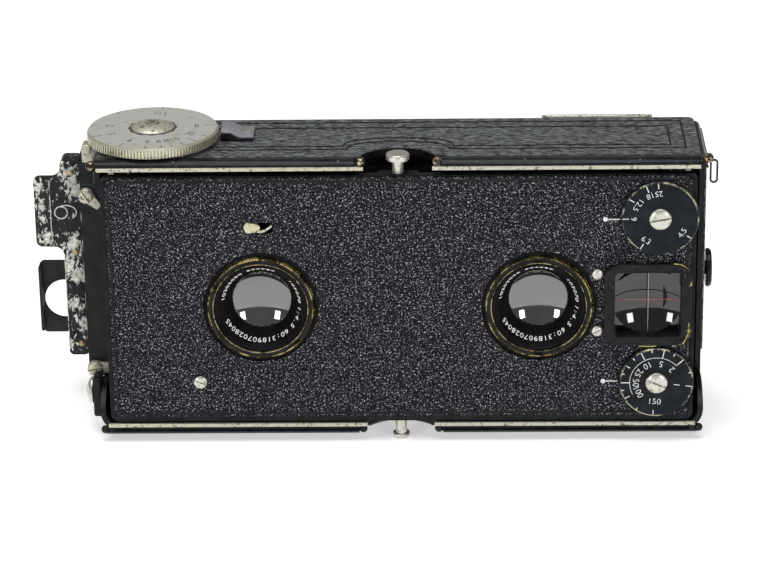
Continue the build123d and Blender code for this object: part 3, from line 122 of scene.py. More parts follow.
class Nodes:
    """Adds and joins the shader nodes of one material."""

    def __init__(self, name: str) -> None:
        """Start a material with one shader.

        Args:
            name: the material's name.
        """
        self.material = bpy.data.materials.new(name)
        self.material.use_nodes = True
        self.tree = self.material.node_tree
        self.tree.nodes.clear()
        self.shader = self.tree.nodes.new("ShaderNodeBsdfPrincipled")
        output = self.tree.nodes.new("ShaderNodeOutputMaterial")
        self.link(self.shader.outputs["BSDF"], output.inputs["Surface"])
        self.place = self.tree.nodes.new("ShaderNodeTexCoord").outputs["Object"]

    def link(self, source: Socket, target: Socket) -> None:
        """Join two sockets."""
        self.tree.links.new(source, target)

    def set(self, **values: float | Colour) -> None:
        """Set the shader's own sockets, with underscores for the spaces in their names."""
        for key, value in values.items():
            socket = self.shader.inputs[key.replace("_", " ")]
            socket.default_value = (*value, 1.0) if isinstance(value, tuple) else value

    def stretched(self, stretch: Point) -> Socket:
        """Object coordinates stretched by an amount along each axis."""
        node = self.tree.nodes.new("ShaderNodeMapping")
        node.inputs["Scale"].default_value = stretch
        self.link(self.place, node.inputs["Vector"])
        return node.outputs["Vector"]

    def noise(
        self, grain: float, detail: float = 3.0, rough: float = 0.55,
        where: Socket | None = None, distortion: float = 0.0,
    ) -> Socket:
        """Cloudy pattern.

        Args:
            grain: size of one cloud in millimetres.
            detail: how many finer layers lie on it.
            rough: how strong the finer layers are.
            where: coordinates, or None for the object's own.
            distortion: how far the clouds are pulled about.

        Returns:
            The pattern, from 0 to 1.
        """
        node = self.tree.nodes.new("ShaderNodeTexNoise")
        node.inputs["Scale"].default_value = 1 / (grain * MM)
        node.inputs["Detail"].default_value = detail
        node.inputs["Roughness"].default_value = rough
        node.inputs["Distortion"].default_value = distortion
        self.link(where or self.place, node.inputs["Vector"])
        return node.outputs["Fac"]

    def ramp(self, value: Socket, *stops: tuple[float, Colour | float]) -> Socket:
        """Colours laid along a value, as stops of place and colour or grey."""
        node = self.tree.nodes.new("ShaderNodeValToRGB")
        band = node.color_ramp
        while len(band.elements) < len(stops):
            band.elements.new(0.5)
        for element, (place, tone) in zip(band.elements, stops):
            element.position = place
            element.color = (*tone, 1.0) if isinstance(tone, tuple) else (tone, tone, tone, 1.0)
        self.link(value, node.inputs["Fac"])
        return node.outputs["Color"]

    def sum(self, kind: str, first: Socket, second: Socket | float) -> Socket:
        """One arithmetic step, such as MULTIPLY or MAXIMUM."""
        node = self.tree.nodes.new("ShaderNodeMath")
        node.operation = kind
        self.link(first, node.inputs[0])
        if isinstance(second, (int, float)):
            node.inputs[1].default_value = second
        else:
            self.link(second, node.inputs[1])
        return node.outputs[0]

    def mix(
        self, share: Socket, first: Socket | Colour,
        second: Socket | Colour,
    ) -> Socket:
        """Blend of two colours by a share from 0 to 1."""
        node = self.tree.nodes.new("ShaderNodeMix")
        node.data_type = "RGBA"
        self.link(share, node.inputs["Factor"])
        for socket, colour in ((node.inputs[6], first), (node.inputs[7], second)):
            if isinstance(colour, tuple):
                socket.default_value = (*colour, 1.0)
            else:
                self.link(colour, socket)
        return node.outputs[2]

    def near(self, spot: Point, reach: float) -> Socket:
        """Value that falls from 1 at a spot to 0 at a distance from it, both in millimetres."""
        node = self.tree.nodes.new("ShaderNodeVectorMath")
        node.operation = "DISTANCE"
        self.link(self.place, node.inputs[0])
        node.inputs[1].default_value = tuple(value * MM for value in spot)
        far = self.sum("MULTIPLY", node.outputs["Value"], -1 / (reach * MM))
        return self.sum("MAXIMUM", self.sum("ADD", far, 1.0), 0.0)

    def colour(self, socket: Socket) -> None:
        """Give the shader its colour."""
        self.link(socket, self.shader.inputs["Base Color"])

    def roughness(self, socket: Socket) -> None:
        """Give the shader its roughness."""
        self.link(socket, self.shader.inputs["Roughness"])

    def relief(self, height: Socket, depth: float, strength: float = 1.0) -> None:
        """Raise a pattern by a depth in millimetres."""
        node = self.tree.nodes.new("ShaderNodeBump")
        node.inputs["Strength"].default_value = strength
        node.inputs["Distance"].default_value = depth * MM
        self.link(height, node.inputs["Height"])
        self.link(node.outputs["Normal"], self.shader.inputs["Normal"])


@dataclass(frozen=True)
class Finish:
    """A surface finish, made once and shared by the pieces that have it."""

    name: str
    slot = Slot.BLACK_PAINT

    def material(self) -> bpy.types.Material:
        """The finish as a material, made the first time it is asked for."""
        made = bpy.data.materials.get(self.name)
        if made is None:
            nodes = Nodes(self.name)
            self.lay(nodes)
            made = nodes.material
        return made

    def lay(self, nodes: Nodes) -> None:
        """Lay the finish on a new material."""
        raise NotImplementedError


@dataclass(frozen=True)
class LongGrainLeather(Finish):
    """Black leather pressed with a long wavy grain that runs one way."""

    slot = Slot.LEATHER
    stretch: Point = (0.2, 1.0, 1.0)
    tone: Colour = (0.007, 0.008, 0.010)
    # colour of the raised wrinkles: a painted highlight
    crest_highlight: Colour = (0.30, 0.318, 0.32)

    def lay(self, nodes: Nodes) -> None:
        """Wrinkles along the grain, with fine pores on them, and the raised wrinkles coloured paler
        as a painted highlight.
        """
        along = nodes.stretched(self.stretch)
        wrinkle = nodes.noise(0.36, detail=3.0, rough=0.6, where=along, distortion=0.8)
        swell = nodes.noise(2.4, detail=2.0, rough=0.5, where=along, distortion=0.4)
        pore = nodes.noise(0.16, detail=2.0, rough=0.6)
        height = nodes.sum(
            "ADD", nodes.sum("MULTIPLY", wrinkle, 1.3), nodes.sum("MULTIPLY", swell, 0.8)
        )
        height = nodes.sum("ADD", height, nodes.sum("MULTIPLY", pore, 0.12))
        # the pale colour on the raised wrinkles is a painted highlight
        nodes.colour(nodes.ramp(wrinkle, (0.44, self.tone), (0.58, self.crest_highlight)))
        nodes.roughness(nodes.ramp(swell, (0.3, 0.36), (0.7, 0.5)))
        nodes.set(Specular_IOR_Level=0.5)
        nodes.relief(height, 0.9, 1.0)


@dataclass(frozen=True)
class PebbledEnamel(Finish):
    """Black crackle enamel over a fine pebble, with grey glints painted on the highest pebbles as
    painted highlights.
    """

    slot = Slot.PEBBLE
    grain: float = 0.37
    tone: Colour = (0.004, 0.005, 0.007)
    glint: Colour = (0.50, 0.52, 0.54)

    def lay(self, nodes: Nodes) -> None:
        """Pebbles with painted highlights on the highest grains and a dark ground."""
        pebble = nodes.noise(self.grain, detail=2.0, rough=0.5, distortion=0.3)
        finer = nodes.noise(self.grain * 0.45, detail=2.0, rough=0.5)
        height = nodes.sum("ADD", pebble, nodes.sum("MULTIPLY", finer, 0.35))
        # the pale colour on the highest pebbles is a painted highlight that stands for the glints
        # of the light
        painted_glints = nodes.ramp(
            height, (0.66, self.tone), (0.77, (0.032, 0.034, 0.038)), (0.90, self.glint)
        )
        nodes.colour(painted_glints)
        nodes.roughness(nodes.ramp(finer, (0.3, 0.34), (0.7, 0.52)))
        nodes.set(Specular_IOR_Level=0.08)
        nodes.relief(height, 0.28, 0.9)


@dataclass(frozen=True)
class Wear:
    """A place where paint has rubbed through: its middle and reach in millimetres."""

    spot: Point
    reach: float


def worn(front: float, *rows: Point) -> tuple[Wear, ...]:
    """Worn places on one front face.

    Args:
        front: where the face lies along Y, in millimetres.
        rows: X, Z and reach of each place.

    Returns:
        The places, for a finish's wear.
    """
    return tuple(Wear((x, front, z), reach) for x, z, reach in rows)


@dataclass(frozen=True)
class Enamel(Finish):
    """Black paint over metal, rubbed through in places."""

    tone: Colour = (0.012, 0.013, 0.015)
    gloss: float = 0.22
    metal: Colour = (0.78, 0.74, 0.62)
    chips: float = 0.0
    chip_size: float = 2.2
    wear: tuple[Wear, ...] = ()
    rub: float = 0.2
    painted: float = 0.575
    bare: float = 0.60

    def lay(self, nodes: Nodes) -> None:
        """Paint, faint ripples and the bare metal that shows through."""
        nodes.set(Specular_IOR_Level=0.14)
        ripple = nodes.noise(3.0, detail=3.0, rough=0.5)
        dust = nodes.noise(0.35, detail=2.0, rough=0.7)
        bright = tuple(min(1.0, value * 2.2 + 0.003) for value in self.tone)
        paint = nodes.ramp(ripple, (0.35, self.tone), (0.75, bright))
        polish = nodes.ramp(dust, (0.3, self.gloss), (0.8, min(1.0, self.gloss + 0.16)))
        if self.chips == 0.0 and not self.wear:
            nodes.colour(paint)
            nodes.roughness(polish)
            nodes.relief(ripple, 0.12, 0.35)
            return
        flake = nodes.noise(
            self.chip_size, detail=5.0, rough=0.68, where=nodes.stretched((1.0, 1.0, 0.62)),
            distortion=0.6
        )
        level = nodes.sum("ADD", flake, self.chips)
        for place in self.wear:
            rub = nodes.sum("MULTIPLY", nodes.near(place.spot, place.reach), self.rub)
            level = nodes.sum("ADD", level, rub)
        bare = nodes.ramp(level, (self.painted, 0.0), (self.bare, 1.0))
        stain = nodes.noise(0.9, detail=4.0, rough=0.6)
        dull = tuple(value * 0.42 for value in self.metal)
        nodes.colour(nodes.mix(bare, paint, nodes.ramp(stain, (0.34, dull), (0.6, self.metal))))
        nodes.roughness(nodes.mix(bare, polish, nodes.ramp(stain, (0.3, 0.5), (0.7, 0.3))))
        nodes.link(nodes.sum("MULTIPLY", bare, 0.85), nodes.shader.inputs["Metallic"])
        nodes.relief(nodes.sum("MULTIPLY", bare, -1.0), 0.03, 0.5)


@dataclass(frozen=True)
class Metal(Finish):
    """Bare or plated metal with fine scratches and patches of tarnish."""

    slot = Slot.NICKEL
    tone: Colour = (0.72, 0.70, 0.62)
    tarnish: Colour = (0.30, 0.26, 0.18)
    gloss: float = 0.28
    age: float = 0.4
    patch: float = 1.6
    metallic: float = 1.0
    brushed: Point = EVEN

    def lay(self, nodes: Nodes) -> None:
        """Brushing, patches and specks."""
        grain = nodes.noise(0.22, detail=3.0, rough=0.6, where=nodes.stretched(self.brushed))
        cloud = nodes.noise(self.patch, detail=5.0, rough=0.62, distortion=0.4)
        speck = nodes.noise(0.5, detail=3.0, rough=0.7)
        aged = nodes.sum("ADD", cloud, nodes.sum("MULTIPLY", speck, 0.35))
        edge = 1.02 - 0.42 * self.age
        soft = tuple(value * 0.86 for value in self.tone)
        clean = nodes.ramp(grain, (0.3, soft), (0.7, self.tone))
        nodes.colour(
            nodes.mix(nodes.ramp(aged, (edge - 0.10, 0.0), (edge + 0.04, 1.0)), clean, self.tarnish)
        )
        nodes.roughness(nodes.ramp(aged, (0.4, self.gloss), (0.95, min(1.0, self.gloss + 0.28))))
        nodes.set(Metallic=self.metallic)
        nodes.relief(grain, 0.02, 0.35)


class Brass(Metal):
    """Brass, bare or worn."""

    slot = Slot.BRASS


class Steel(Metal):
    """Steel, plain or blued."""

    slot = Slot.STEEL


@dataclass(frozen=True)
class Glass(Finish):
    """Clear optical glass with a faint tint."""

    slot = Slot.GLASS
    tone: Colour = (0.92, 0.94, 0.95)
    index: float = 1.6

    def lay(self, nodes: Nodes) -> None:
        """Clear body, with the faintest dust."""
        dust = nodes.noise(1.3, detail=4.0, rough=0.6)
        nodes.roughness(nodes.ramp(dust, (0.45, 0.012), (0.9, 0.05)))
        nodes.set(Base_Color=self.tone, Transmission_Weight=1.0, IOR=self.index)


@dataclass(frozen=True)
class Mirror(Finish):
    """Coated glass coloured near black as painted shade of the unlit lens behind it: it shows the
    lights and little else.
    """

    slot = Slot.GLASS
    tone: Colour = (0.012, 0.013, 0.015)
    index: float = 2.1

    def lay(self, nodes: Nodes) -> None:
        """Dark body as painted shade, with faint paler clouds as a painted glimmer from inside,
        under a clear polish.
        """
        # the body colour is painted: near black for the shade inside the lens, with paler clouds as
        # a painted inner glimmer
        depth = nodes.noise(7.0, detail=2.0, rough=0.4)
        pale = tuple(value * 3 for value in self.tone)
        nodes.colour(nodes.ramp(depth, (0.35, self.tone), (0.75, pale)))
        nodes.roughness(
            nodes.ramp(nodes.noise(1.3, detail=4.0, rough=0.6), (0.45, 0.03), (0.9, 0.09))
        )
        nodes.set(IOR=self.index, Specular_IOR_Level=0.5)


@dataclass(frozen=True)
class Filling(Finish):
    """Paint rubbed into engraved marks, a little broken up, with emission as painted light where it
    is asked for.
    """

    tone: Colour = (0.82, 0.82, 0.78)
    faded: Colour = (0.42, 0.41, 0.37)
    # emission that lifts shaded marks: painted light
    painted_glow: float = 0.0

    def lay(self, nodes: Nodes) -> None:
        """Paint with worn grains, and emission as painted light."""
        grain = nodes.noise(0.3, detail=3.0, rough=0.6)
        nodes.colour(nodes.ramp(grain, (0.38, self.faded), (0.5, self.tone)))
        nodes.set(Emission_Color=self.tone, Emission_Strength=self.painted_glow)
        nodes.roughness(nodes.ramp(grain, (0.3, 0.45), (0.7, 0.7)))


@dataclass(frozen=True)
class Cloth(Finish):
    """Fine black rubbered cloth."""

    slot = Slot.CLOTH
    tone: Colour = (0.010, 0.010, 0.011)

    def lay(self, nodes: Nodes) -> None:
        """Threads across and along, with a dull sheen."""
        weft = nodes.noise(0.25, detail=1.0, rough=0.5, where=nodes.stretched((0.15, 1.0, 1.0)))
        warp = nodes.noise(0.25, detail=1.0, rough=0.5, where=nodes.stretched((1.0, 1.0, 0.15)))
        weave = nodes.sum("ADD", weft, warp)
        pale = tuple(value * 3.2 for value in self.tone)
        nodes.colour(nodes.ramp(nodes.sum("MULTIPLY", weave, 0.5), (0.3, self.tone), (0.7, pale)))
        nodes.roughness(nodes.ramp(nodes.noise(6.0), (0.3, 0.6), (0.7, 0.8)))
        nodes.set(Sheen_Weight=0.2, Sheen_Roughness=0.5)
        nodes.relief(weave, 0.08, 0.6)


TOP_LEATHER = LongGrainLeather("long_grain_leather")
SIDE_LEATHER = LongGrainLeather("side_leather", stretch=(1.0, 1.0, 0.28))
COVER_ENAMEL = PebbledEnamel("pebbled_enamel")
BODY_ENAMEL = Enamel("body_enamel", tone=(0.007, 0.008, 0.009), gloss=0.2)
BEAD_ENAMEL = Enamel(
    "bead_enamel", tone=(0.008, 0.009, 0.010), gloss=0.12, chips=-0.1, chip_size=0.8
)
INNER_BLACK = Enamel("inner_black", tone=(0.008, 0.008, 0.009), gloss=0.5)
SLATE = Enamel("slate_enamel", tone=(0.005, 0.007, 0.009), gloss=0.5)
RIM_BRASS = Brass(
    "worn_rim_brass", (0.46, 0.38, 0.15), (0.03, 0.026, 0.016), gloss=0.32, age=0.86, patch=3.8
)
LINE_BRASS = Brass(
    "line_brass", (0.42, 0.36, 0.20), (0.05, 0.045, 0.03), gloss=0.3, age=0.78, patch=3.2
)
SEAT_BRASS = Brass(
    "seat_brass", (0.35, 0.33, 0.27), (0.04, 0.04, 0.035), gloss=0.3, age=0.7, patch=2.4
)
CREAM_NICKEL = Metal(
    "cream_nickel", (0.56, 0.54, 0.44), (0.12, 0.09, 0.05), gloss=0.32, age=0.5, patch=0.9,
    metallic=0.55, brushed=(0.1, 1.0, 1.0)
)
DIAL_NICKEL = Metal(
    "dial_nickel", (0.60, 0.595, 0.55), (0.40, 0.39, 0.34), gloss=0.42, age=0.45, patch=2.2,
    metallic=0.45
)
RIB_NICKEL = Metal(
    "rib_nickel", (0.60, 0.58, 0.45), (0.20, 0.18, 0.12), gloss=0.3, age=0.38, patch=1.2,
    metallic=0.7
)
BRIGHT_NICKEL = Metal(
    "bright_nickel", (0.64, 0.63, 0.56), (0.22, 0.19, 0.13), gloss=0.2, age=0.45, patch=1.2,
    metallic=0.75
)
BALL_BRASS = Brass(
    "ball_brass", (0.50, 0.42, 0.30), (0.03, 0.022, 0.016), gloss=0.22, age=0.8, patch=1.3
)
AGED_BRASS = Brass("aged_brass", (0.40, 0.33, 0.18), (0.12, 0.10, 0.06), gloss=0.3, age=0.55)
BLUED_STEEL = Steel(
    "blued_steel", (0.42, 0.43, 0.47), (0.16, 0.16, 0.18), gloss=0.34, age=0.4, patch=1.4,
    metallic=0.7, brushed=(1.0, 0.2, 1.0)
)
PLAIN_STEEL = Steel("plain_steel", (0.42, 0.42, 0.42), (0.18, 0.16, 0.14), gloss=0.34, age=0.4)
BLADE_STEEL = Steel("blade_steel", (0.05, 0.05, 0.055), (0.02, 0.02, 0.02), gloss=0.42, age=0.4)
GRIP_PAINT = Enamel(
    "grip_paint", gloss=0.3, metal=(0.66, 0.66, 0.60), chips=-0.025, chip_size=0.9,
    wear=worn(
        14.3, (-77.6, 53.6, 3.6), (-76.2, 49.4, 3.4), (-84.8, 50.0, 3.2), (-84.6, 45.4, 2.2),
        (-84.2, 42.0, 1.8), (-83.6, 37.2, 3.4), (-77.0, 36.0, 3.8), (-78.6, 30.5, 5.2),
        (-76.0, 27.5, 2.6), (-77.4, 20.4, 3.0), (-75.6, 15.8, 3.0), (-79.0, 10.4, 2.2),
    ),
)
SLIDE_PAINT = Enamel("slide_paint", gloss=0.24, metal=(0.7, 0.7, 0.66), chips=-0.13)
FINDER_PAINT = Enamel(
    "finder_paint", tone=(0.006, 0.0065, 0.0075), gloss=0.4, metal=(0.50, 0.42, 0.17),
    chips=-0.1, chip_size=1.1,
    wear=worn(
        -16.5, (65.4, 25.0, 2.6), (65.0, 40.8, 2.4), (65.8, 37.4, 1.6), (47.0, 25.6, 1.5)
    ),
)
LEVER_NICKEL = Metal(
    "lever_nickel", (0.62, 0.58, 0.40), (0.25, 0.22, 0.12), gloss=0.34, age=0.4, patch=1.2,
    metallic=0.5
)
RUB_BRASS = Brass(
    "rub_brass", (0.50, 0.42, 0.16), (0.06, 0.045, 0.02), gloss=0.36, age=0.6, patch=1.6,
    metallic=0.8
)
RUBBED_EDGE = Metal(
    "rubbed_edge", (0.80, 0.80, 0.75), (0.02, 0.02, 0.02), gloss=0.35, age=0.55, patch=2.4,
    metallic=0.6
)
CLEAR_GLASS = Glass("clear_glass")
# both glasses are coloured near black as painted shade of the unlit inside behind them
COATED_GLASS = Mirror("coated_glass", (0.012, 0.013, 0.015), 2.5)
FINDER_GLASS = Mirror("finder_glass", (0.002, 0.002, 0.003), 1.72)
WHITE_FILLING = Filling("white_filling")
# the cone figures get emission as painted light, to lift them where the cone shades them
CONE_FILLING_LIT = Filling("cone_filling_lit", painted_glow=0.5)
BLACK_FILLING = Filling("black_filling", (0.03, 0.03, 0.03), (0.16, 0.155, 0.14))
RED_LINE = Filling("red_line", (0.55, 0.09, 0.08), (0.62, 0.3, 0.27))
PINK_LINE = Filling("pink_line", (0.62, 0.42, 0.38), (0.6, 0.5, 0.48))
EDGE_WEAR = Brass(
    "edge_wear", (0.55, 0.50, 0.36), (0.014, 0.016, 0.02), gloss=0.35, age=0.84, patch=4.2,
    metallic=0.7
)
RING_PAINT = Enamel(
    "ring_paint", tone=(0.006, 0.006, 0.006), gloss=0.3, metal=(0.42, 0.33, 0.15),
    chips=-0.12, chip_size=1.2,
)
CELL_PAINT = Enamel("cell_paint", tone=(0.003, 0.003, 0.004), gloss=0.5)
# near-black for the painted shadow band round the lens rings
SHADOW_BAND_BLACK = Enamel("painted_shadow_black", tone=(0.0008, 0.0008, 0.0008), gloss=0.7)
# paler and near-black copies of the leather for the tooled lines: painted highlight on the ridge,
# painted shade for the groove
TOOLED_CREST_LIT = LongGrainLeather(
    "tooled_crest", tone=(0.05, 0.054, 0.055), crest_highlight=(0.36, 0.38, 0.385)
)
TOOLED_GROOVE_SHADE = LongGrainLeather(
    "tooled_groove_shade", tone=(0.001, 0.001, 0.001), crest_highlight=(0.008, 0.008, 0.009)
)
BELLOWS_CLOTH = Cloth("bellows_cloth")


# ---- the bench ---------------------------------------------------------------


class Blank:
    """A mesh on the bench: shaped in edit mode, then set in place and dressed."""

    def __init__(self, piece: bpy.types.Object) -> None:
        """Take a mesh object on to the bench."""
        self.piece = piece

    @staticmethod
    def alone(piece: bpy.types.Object | None = None) -> None:
        """Leave edit mode and select this piece alone, or nothing."""
        if bpy.context.object and bpy.context.object.mode != "OBJECT":
            bpy.ops.object.mode_set(mode="OBJECT")
        bpy.ops.object.select_all(action="DESELECT")
        if piece:
            piece.select_set(True)
            bpy.context.view_layer.objects.active = piece

    @classmethod
    def named(cls, name: str) -> Blank:
        """Name the primitive that has just been added."""
        piece = bpy.context.object
        piece.name = name
        piece.data.name = name
        return cls(piece)

    @classmethod
    def turned(cls, name: str, profile: Profile, sides: int = 64, closed: bool = False) -> Blank:
        """Piece turned on a lathe about its own Z.

        Args:
            name: name of the piece.
            profile: (radius, height) pairs in millimetres; a last radius of 0 ends in a point.
            sides: how many sides stand for the round.
            closed: whether the profile goes back to its start, as a ring's does.

        Returns:
            The blank, with its caps filled and normals outwards.
        """
        cls.alone()
        path = [*profile, profile[0]] if closed else profile
        radius, height = path[0]
        bpy.ops.mesh.primitive_circle_add(
            vertices=sides, radius=radius * MM, fill_type="NOTHING", location=(0, 0, height * MM)
        )
        bpy.ops.object.transform_apply(location=True)
        blank = cls.named(name)
        bpy.ops.object.mode_set(mode="EDIT")
        if not closed:
            bpy.ops.mesh.edge_face_add()
            bpy.ops.mesh.select_mode(type="EDGE")
        for next_radius, next_height in path[1:]:
            rise = (next_height - height) * MM
            bpy.ops.mesh.extrude_edges_move(TRANSFORM_OT_translate={"value": (0, 0, rise)})
            if next_radius == 0:
                bpy.ops.mesh.merge(type="CENTER")
                break
            grow = next_radius / radius
            bpy.ops.transform.resize(
                value=(grow, grow, 1), center_override=(0, 0, next_height * MM)
            )
            radius, height = next_radius, next_height
        if not closed and path[-1][0] > 0:
            bpy.ops.mesh.edge_face_add()
        blank.close()
        return blank

    def close(self) -> None:
        """Merge doubles, turn the faces outwards and leave edit mode."""
        if self.piece.mode != "EDIT":
            self.alone(self.piece)
            bpy.ops.object.mode_set(mode="EDIT")
        bpy.ops.mesh.select_all(action="SELECT")
        bpy.ops.mesh.remove_doubles(threshold=1e-6)
        bpy.ops.mesh.normals_make_consistent(inside=False)
        bpy.ops.object.mode_set(mode="OBJECT")

    @classmethod
    def slab(cls, name: str, size: Point, centre: Point = (0, 0, 0)) -> Blank:
        """Rectangular bar to be shaped further, in millimetres."""
        cls.alone()
        bpy.ops.mesh.primitive_cube_add(size=1, location=[value * MM for value in centre])
        bpy.context.object.scale = [value * MM for value in size]
        bpy.ops.object.transform_apply(location=True, scale=True)
        return cls.named(name)

    @classmethod
    def digits(cls, name: str, text: str, height: float, raised: float = 0.05) -> Blank:
        """Numbers lying flat about the origin, raised by a little."""
        cls.alone()
        bpy.ops.object.text_add()
        letters = bpy.context.object.data
        letters.body = text
        letters.align_x, letters.align_y = "CENTER", "CENTER"
        letters.size = height * 1.38 * MM
        letters.extrude = raised / 2 * MM
        letters.resolution_u = 3
        letters.offset = -0.012 * height * MM
        bpy.ops.object.convert(target="MESH")
        blank = cls.named(name)
        blank.close()
        return blank

    @classmethod
    def cord(cls, name: str, points: Sequence[Point], radius: float, sides: int = 2) -> Blank:
        """Round line laid through points, made a mesh.

        Args:
            name: name of the piece.
            points: where the line goes, in millimetres.
            radius: the line's radius.
            sides: fineness of its section.
        """
        cls.alone()
        bpy.ops.curve.primitive_bezier_curve_add()
        line = bpy.context.object.data
        line.splines.clear()
        spline = line.splines.new("POLY")
        spline.points.add(len(points) - 1)
        for knot, point in zip(spline.points, points):
            knot.co = (*(value * MM for value in point), 1)
        line.dimensions = "3D"
        line.bevel_depth = radius * MM
        line.bevel_resolution = sides
        line.use_fill_caps = True
        bpy.ops.object.convert(target="MESH")
        blank = cls.named(name)
        blank.close()
        return blank

    @classmethod
    def copied(cls, name: str, node: str) -> Blank:
        """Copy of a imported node, merged and cleaned to whole faces, for softening."""
        cls.alone()
        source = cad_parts[node]
        piece = bpy.data.objects.new(name, source.data.copy())
        bpy.context.scene.collection.objects.link(piece)
        piece.data.materials.clear()
        cls.alone(piece)
        bpy.ops.object.mode_set(mode="EDIT")
        bpy.ops.mesh.select_all(action="SELECT")
        bpy.ops.mesh.remove_doubles(threshold=2e-6)
        bpy.ops.mesh.customdata_custom_splitnormals_clear()
        bpy.ops.mesh.dissolve_limited(angle_limit=math.radians(0.6))
        bpy.ops.object.mode_set(mode="OBJECT")
        return cls(piece)

    def pick(self, element: Element, test: Callable[[Vector, Vector], bool]) -> None:
        """Select the points or faces that pass a test, and stay in edit mode.

        Args:
            element: what to pick.
            test: takes a place in millimetres and a normal.
        """
        self.alone(self.piece)
        bpy.ops.object.mode_set(mode="EDIT")
        bpy.ops.mesh.select_mode(type=element.value)
        bpy.ops.mesh.select_all(action="DESELECT")
        bpy.ops.object.mode_set(mode="OBJECT")
        mesh = self.piece.data
        if element is Element.FACES:
            items = [(face, face.center / MM, face.normal) for face in mesh.polygons]
        else:
            items = [(point, point.co / MM, point.normal) for point in mesh.vertices]
        for item, place, normal in items:
            item.select = test(place, normal)
        bpy.ops.object.mode_set(mode="EDIT")

    def flute(self, radius: float, width: float, depth: float, steep: float = 0.5) -> Blank:
        """Press a groove into every second face of the rim.

        Args:
            radius: faces whose middles lie outside this radius are the rim.
            width: margin left round each groove.
            depth: how deep the groove is.
            steep: faces whose normal rises more than this are left alone.
        """
        def turn(place: Vector) -> int:
            """Place round the rim, in fortieths of a degree."""
            return round(math.degrees(math.atan2(place.y, place.x)) * 40)

        def on_rim(place: Vector, normal: Vector) -> bool:
            """Whether a face belongs to the rim."""
            return abs(normal.z) <= steep and math.hypot(place.x, place.y) >= radius

        faces = [(face.center / MM, face.normal) for face in self.piece.data.polygons]
        turns = sorted({turn(place) for place, normal in faces if on_rim(place, normal)})
        grooved = set(turns[::2])
        self.pick(
            Element.FACES, lambda place, normal: on_rim(place, normal) and turn(place) in grooved
        )
        bpy.ops.mesh.inset(thickness=width * MM, depth=-depth * MM, use_individual=True)
        bpy.ops.object.mode_set(mode="OBJECT")
        return self

    @classmethod
    def screw(cls, name: str, radius: float, height: float, slot: float) -> Blank:
        """Domed screw head with a slot cut across it.

        Args:
            name: name of the piece.
            radius: radius of the head.
            height: height of the head.
            slot: width of the slot.
        """
        crown = [
            (radius * share, height * rise) for share, rise in
            ((1, 0), (1, 0.5), (0.9, 0.78), (0.6, 0.93), (0.25, 1), (0, 1))
        ]
        head = cls.turned(name, crown, 48)
        blade = cls.slab(f"{name}_blade", (radius * 2.4, slot, height * 1.6), (0, 0, height))
        return head.cut(blade).soften(0.04, 1, 50).smooth(40)

    def cut(self, tool: Blank) -> Blank:
        """Cut another blank's shape out of this one, and throw the tool away."""
        cut = self.piece.modifiers.new("cut", "BOOLEAN")
        cut.operation = "DIFFERENCE"
        cut.object = tool.piece
        self.alone(self.piece)
        bpy.ops.object.modifier_apply(modifier="cut")
        bpy.data.objects.remove(tool.piece)
        return self

    @classmethod
    def ball(
        cls, name: str, radius: float, centre: Point, sides: int = 64, rings: int = 32
    ) -> Blank:
        """Finely divided ball."""
        cls.alone()
        place = [value * MM for value in centre]
        bpy.ops.mesh.primitive_uv_sphere_add(
            segments=sides, ring_count=rings, radius=radius * MM, location=place
        )
        bpy.ops.object.transform_apply(location=True)
        return cls.named(name)

    def soften(self, width: float, segments: int = 2, angle: float = 35.0) -> Blank:
        """Round the sharp edges by a width in millimetres."""
        bevel = self.piece.modifiers.new("soften", "BEVEL")
        bevel.width = width * MM
        bevel.segments = segments
        bevel.limit_method = "ANGLE"
        bevel.angle_limit = math.radians(angle)
        bevel.miter_outer = "MITER_ARC"
        self.alone(self.piece)
        bpy.ops.object.modifier_apply(modifier="soften")
        return self

    def smooth(self, angle: float = 32.0) -> Blank:
        """Shade smooth wherever faces meet more flatly than an angle."""
        self.alone(self.piece)
        bpy.ops.object.shade_smooth_by_angle(angle=math.radians(angle))
        return self

    def move(self, matrix: Matrix) -> Blank:
        """Move the mesh by a matrix, and leave its object at the origin."""
        self.alone(self.piece)
        self.piece.matrix_world = matrix
        bpy.ops.object.transform_apply(location=True, rotation=True, scale=True)
        return self

    def shift(self, x: float, y: float, z: float = 0.0, turn: float = 0.0) -> Blank:
        """Turn about its own Z by degrees, then move, in millimetres."""
        turned = Matrix.Rotation(math.radians(turn), 4, "Z")
        return self.move(Matrix.Translation((x * MM, y * MM, z * MM)) @ turned)

    def set_down(self, centre: Point, facing: Facing, turn: float = 0.0) -> Blank:
        """Turn to a facing and move to a centre in millimetres."""
        place = Matrix.Translation(Vector(centre) * MM) @ facing.matrix()
        return self.move(place @ Matrix.Rotation(math.radians(turn), 4, "Z"))

    def join(self, *others: Blank) -> Blank:
        """Make this and the others one piece."""
        self.alone(self.piece)
        for other in others:
            other.piece.select_set(True)
        bpy.context.view_layer.objects.active = self.piece
        bpy.ops.object.join()
        return self

    def dress(self, body: str, finish: Finish, *stands_for: str) -> Blank:
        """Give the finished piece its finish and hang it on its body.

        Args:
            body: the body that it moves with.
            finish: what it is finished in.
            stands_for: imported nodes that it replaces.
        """
        self.piece.data.materials.clear()
        self.piece.data.materials.append(finish.material())
        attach(self.piece, body)
        if stands_for:
            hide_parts(*stands_for)
        faces = len(self.piece.data.polygons)
        LOG.info("%s: %d faces on %s in %s", self.piece.name, faces, body, finish.name)
        return self


def joined(blanks: Iterable[Blank]) -> Blank:
    """Join a run of blanks into the first of them."""
    first, *rest = blanks
    return first.join(*rest) if rest else first


def softened(
    name: str, node: str, body: str, finish: Finish, edge: float = 0.15, segments: int = 2,
) -> Blank:
    """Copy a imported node, round its edges and dress it in its place."""
    blank = Blank.copied(name, node).soften(edge, segments).smooth()
    return blank.dress(body, finish, node)


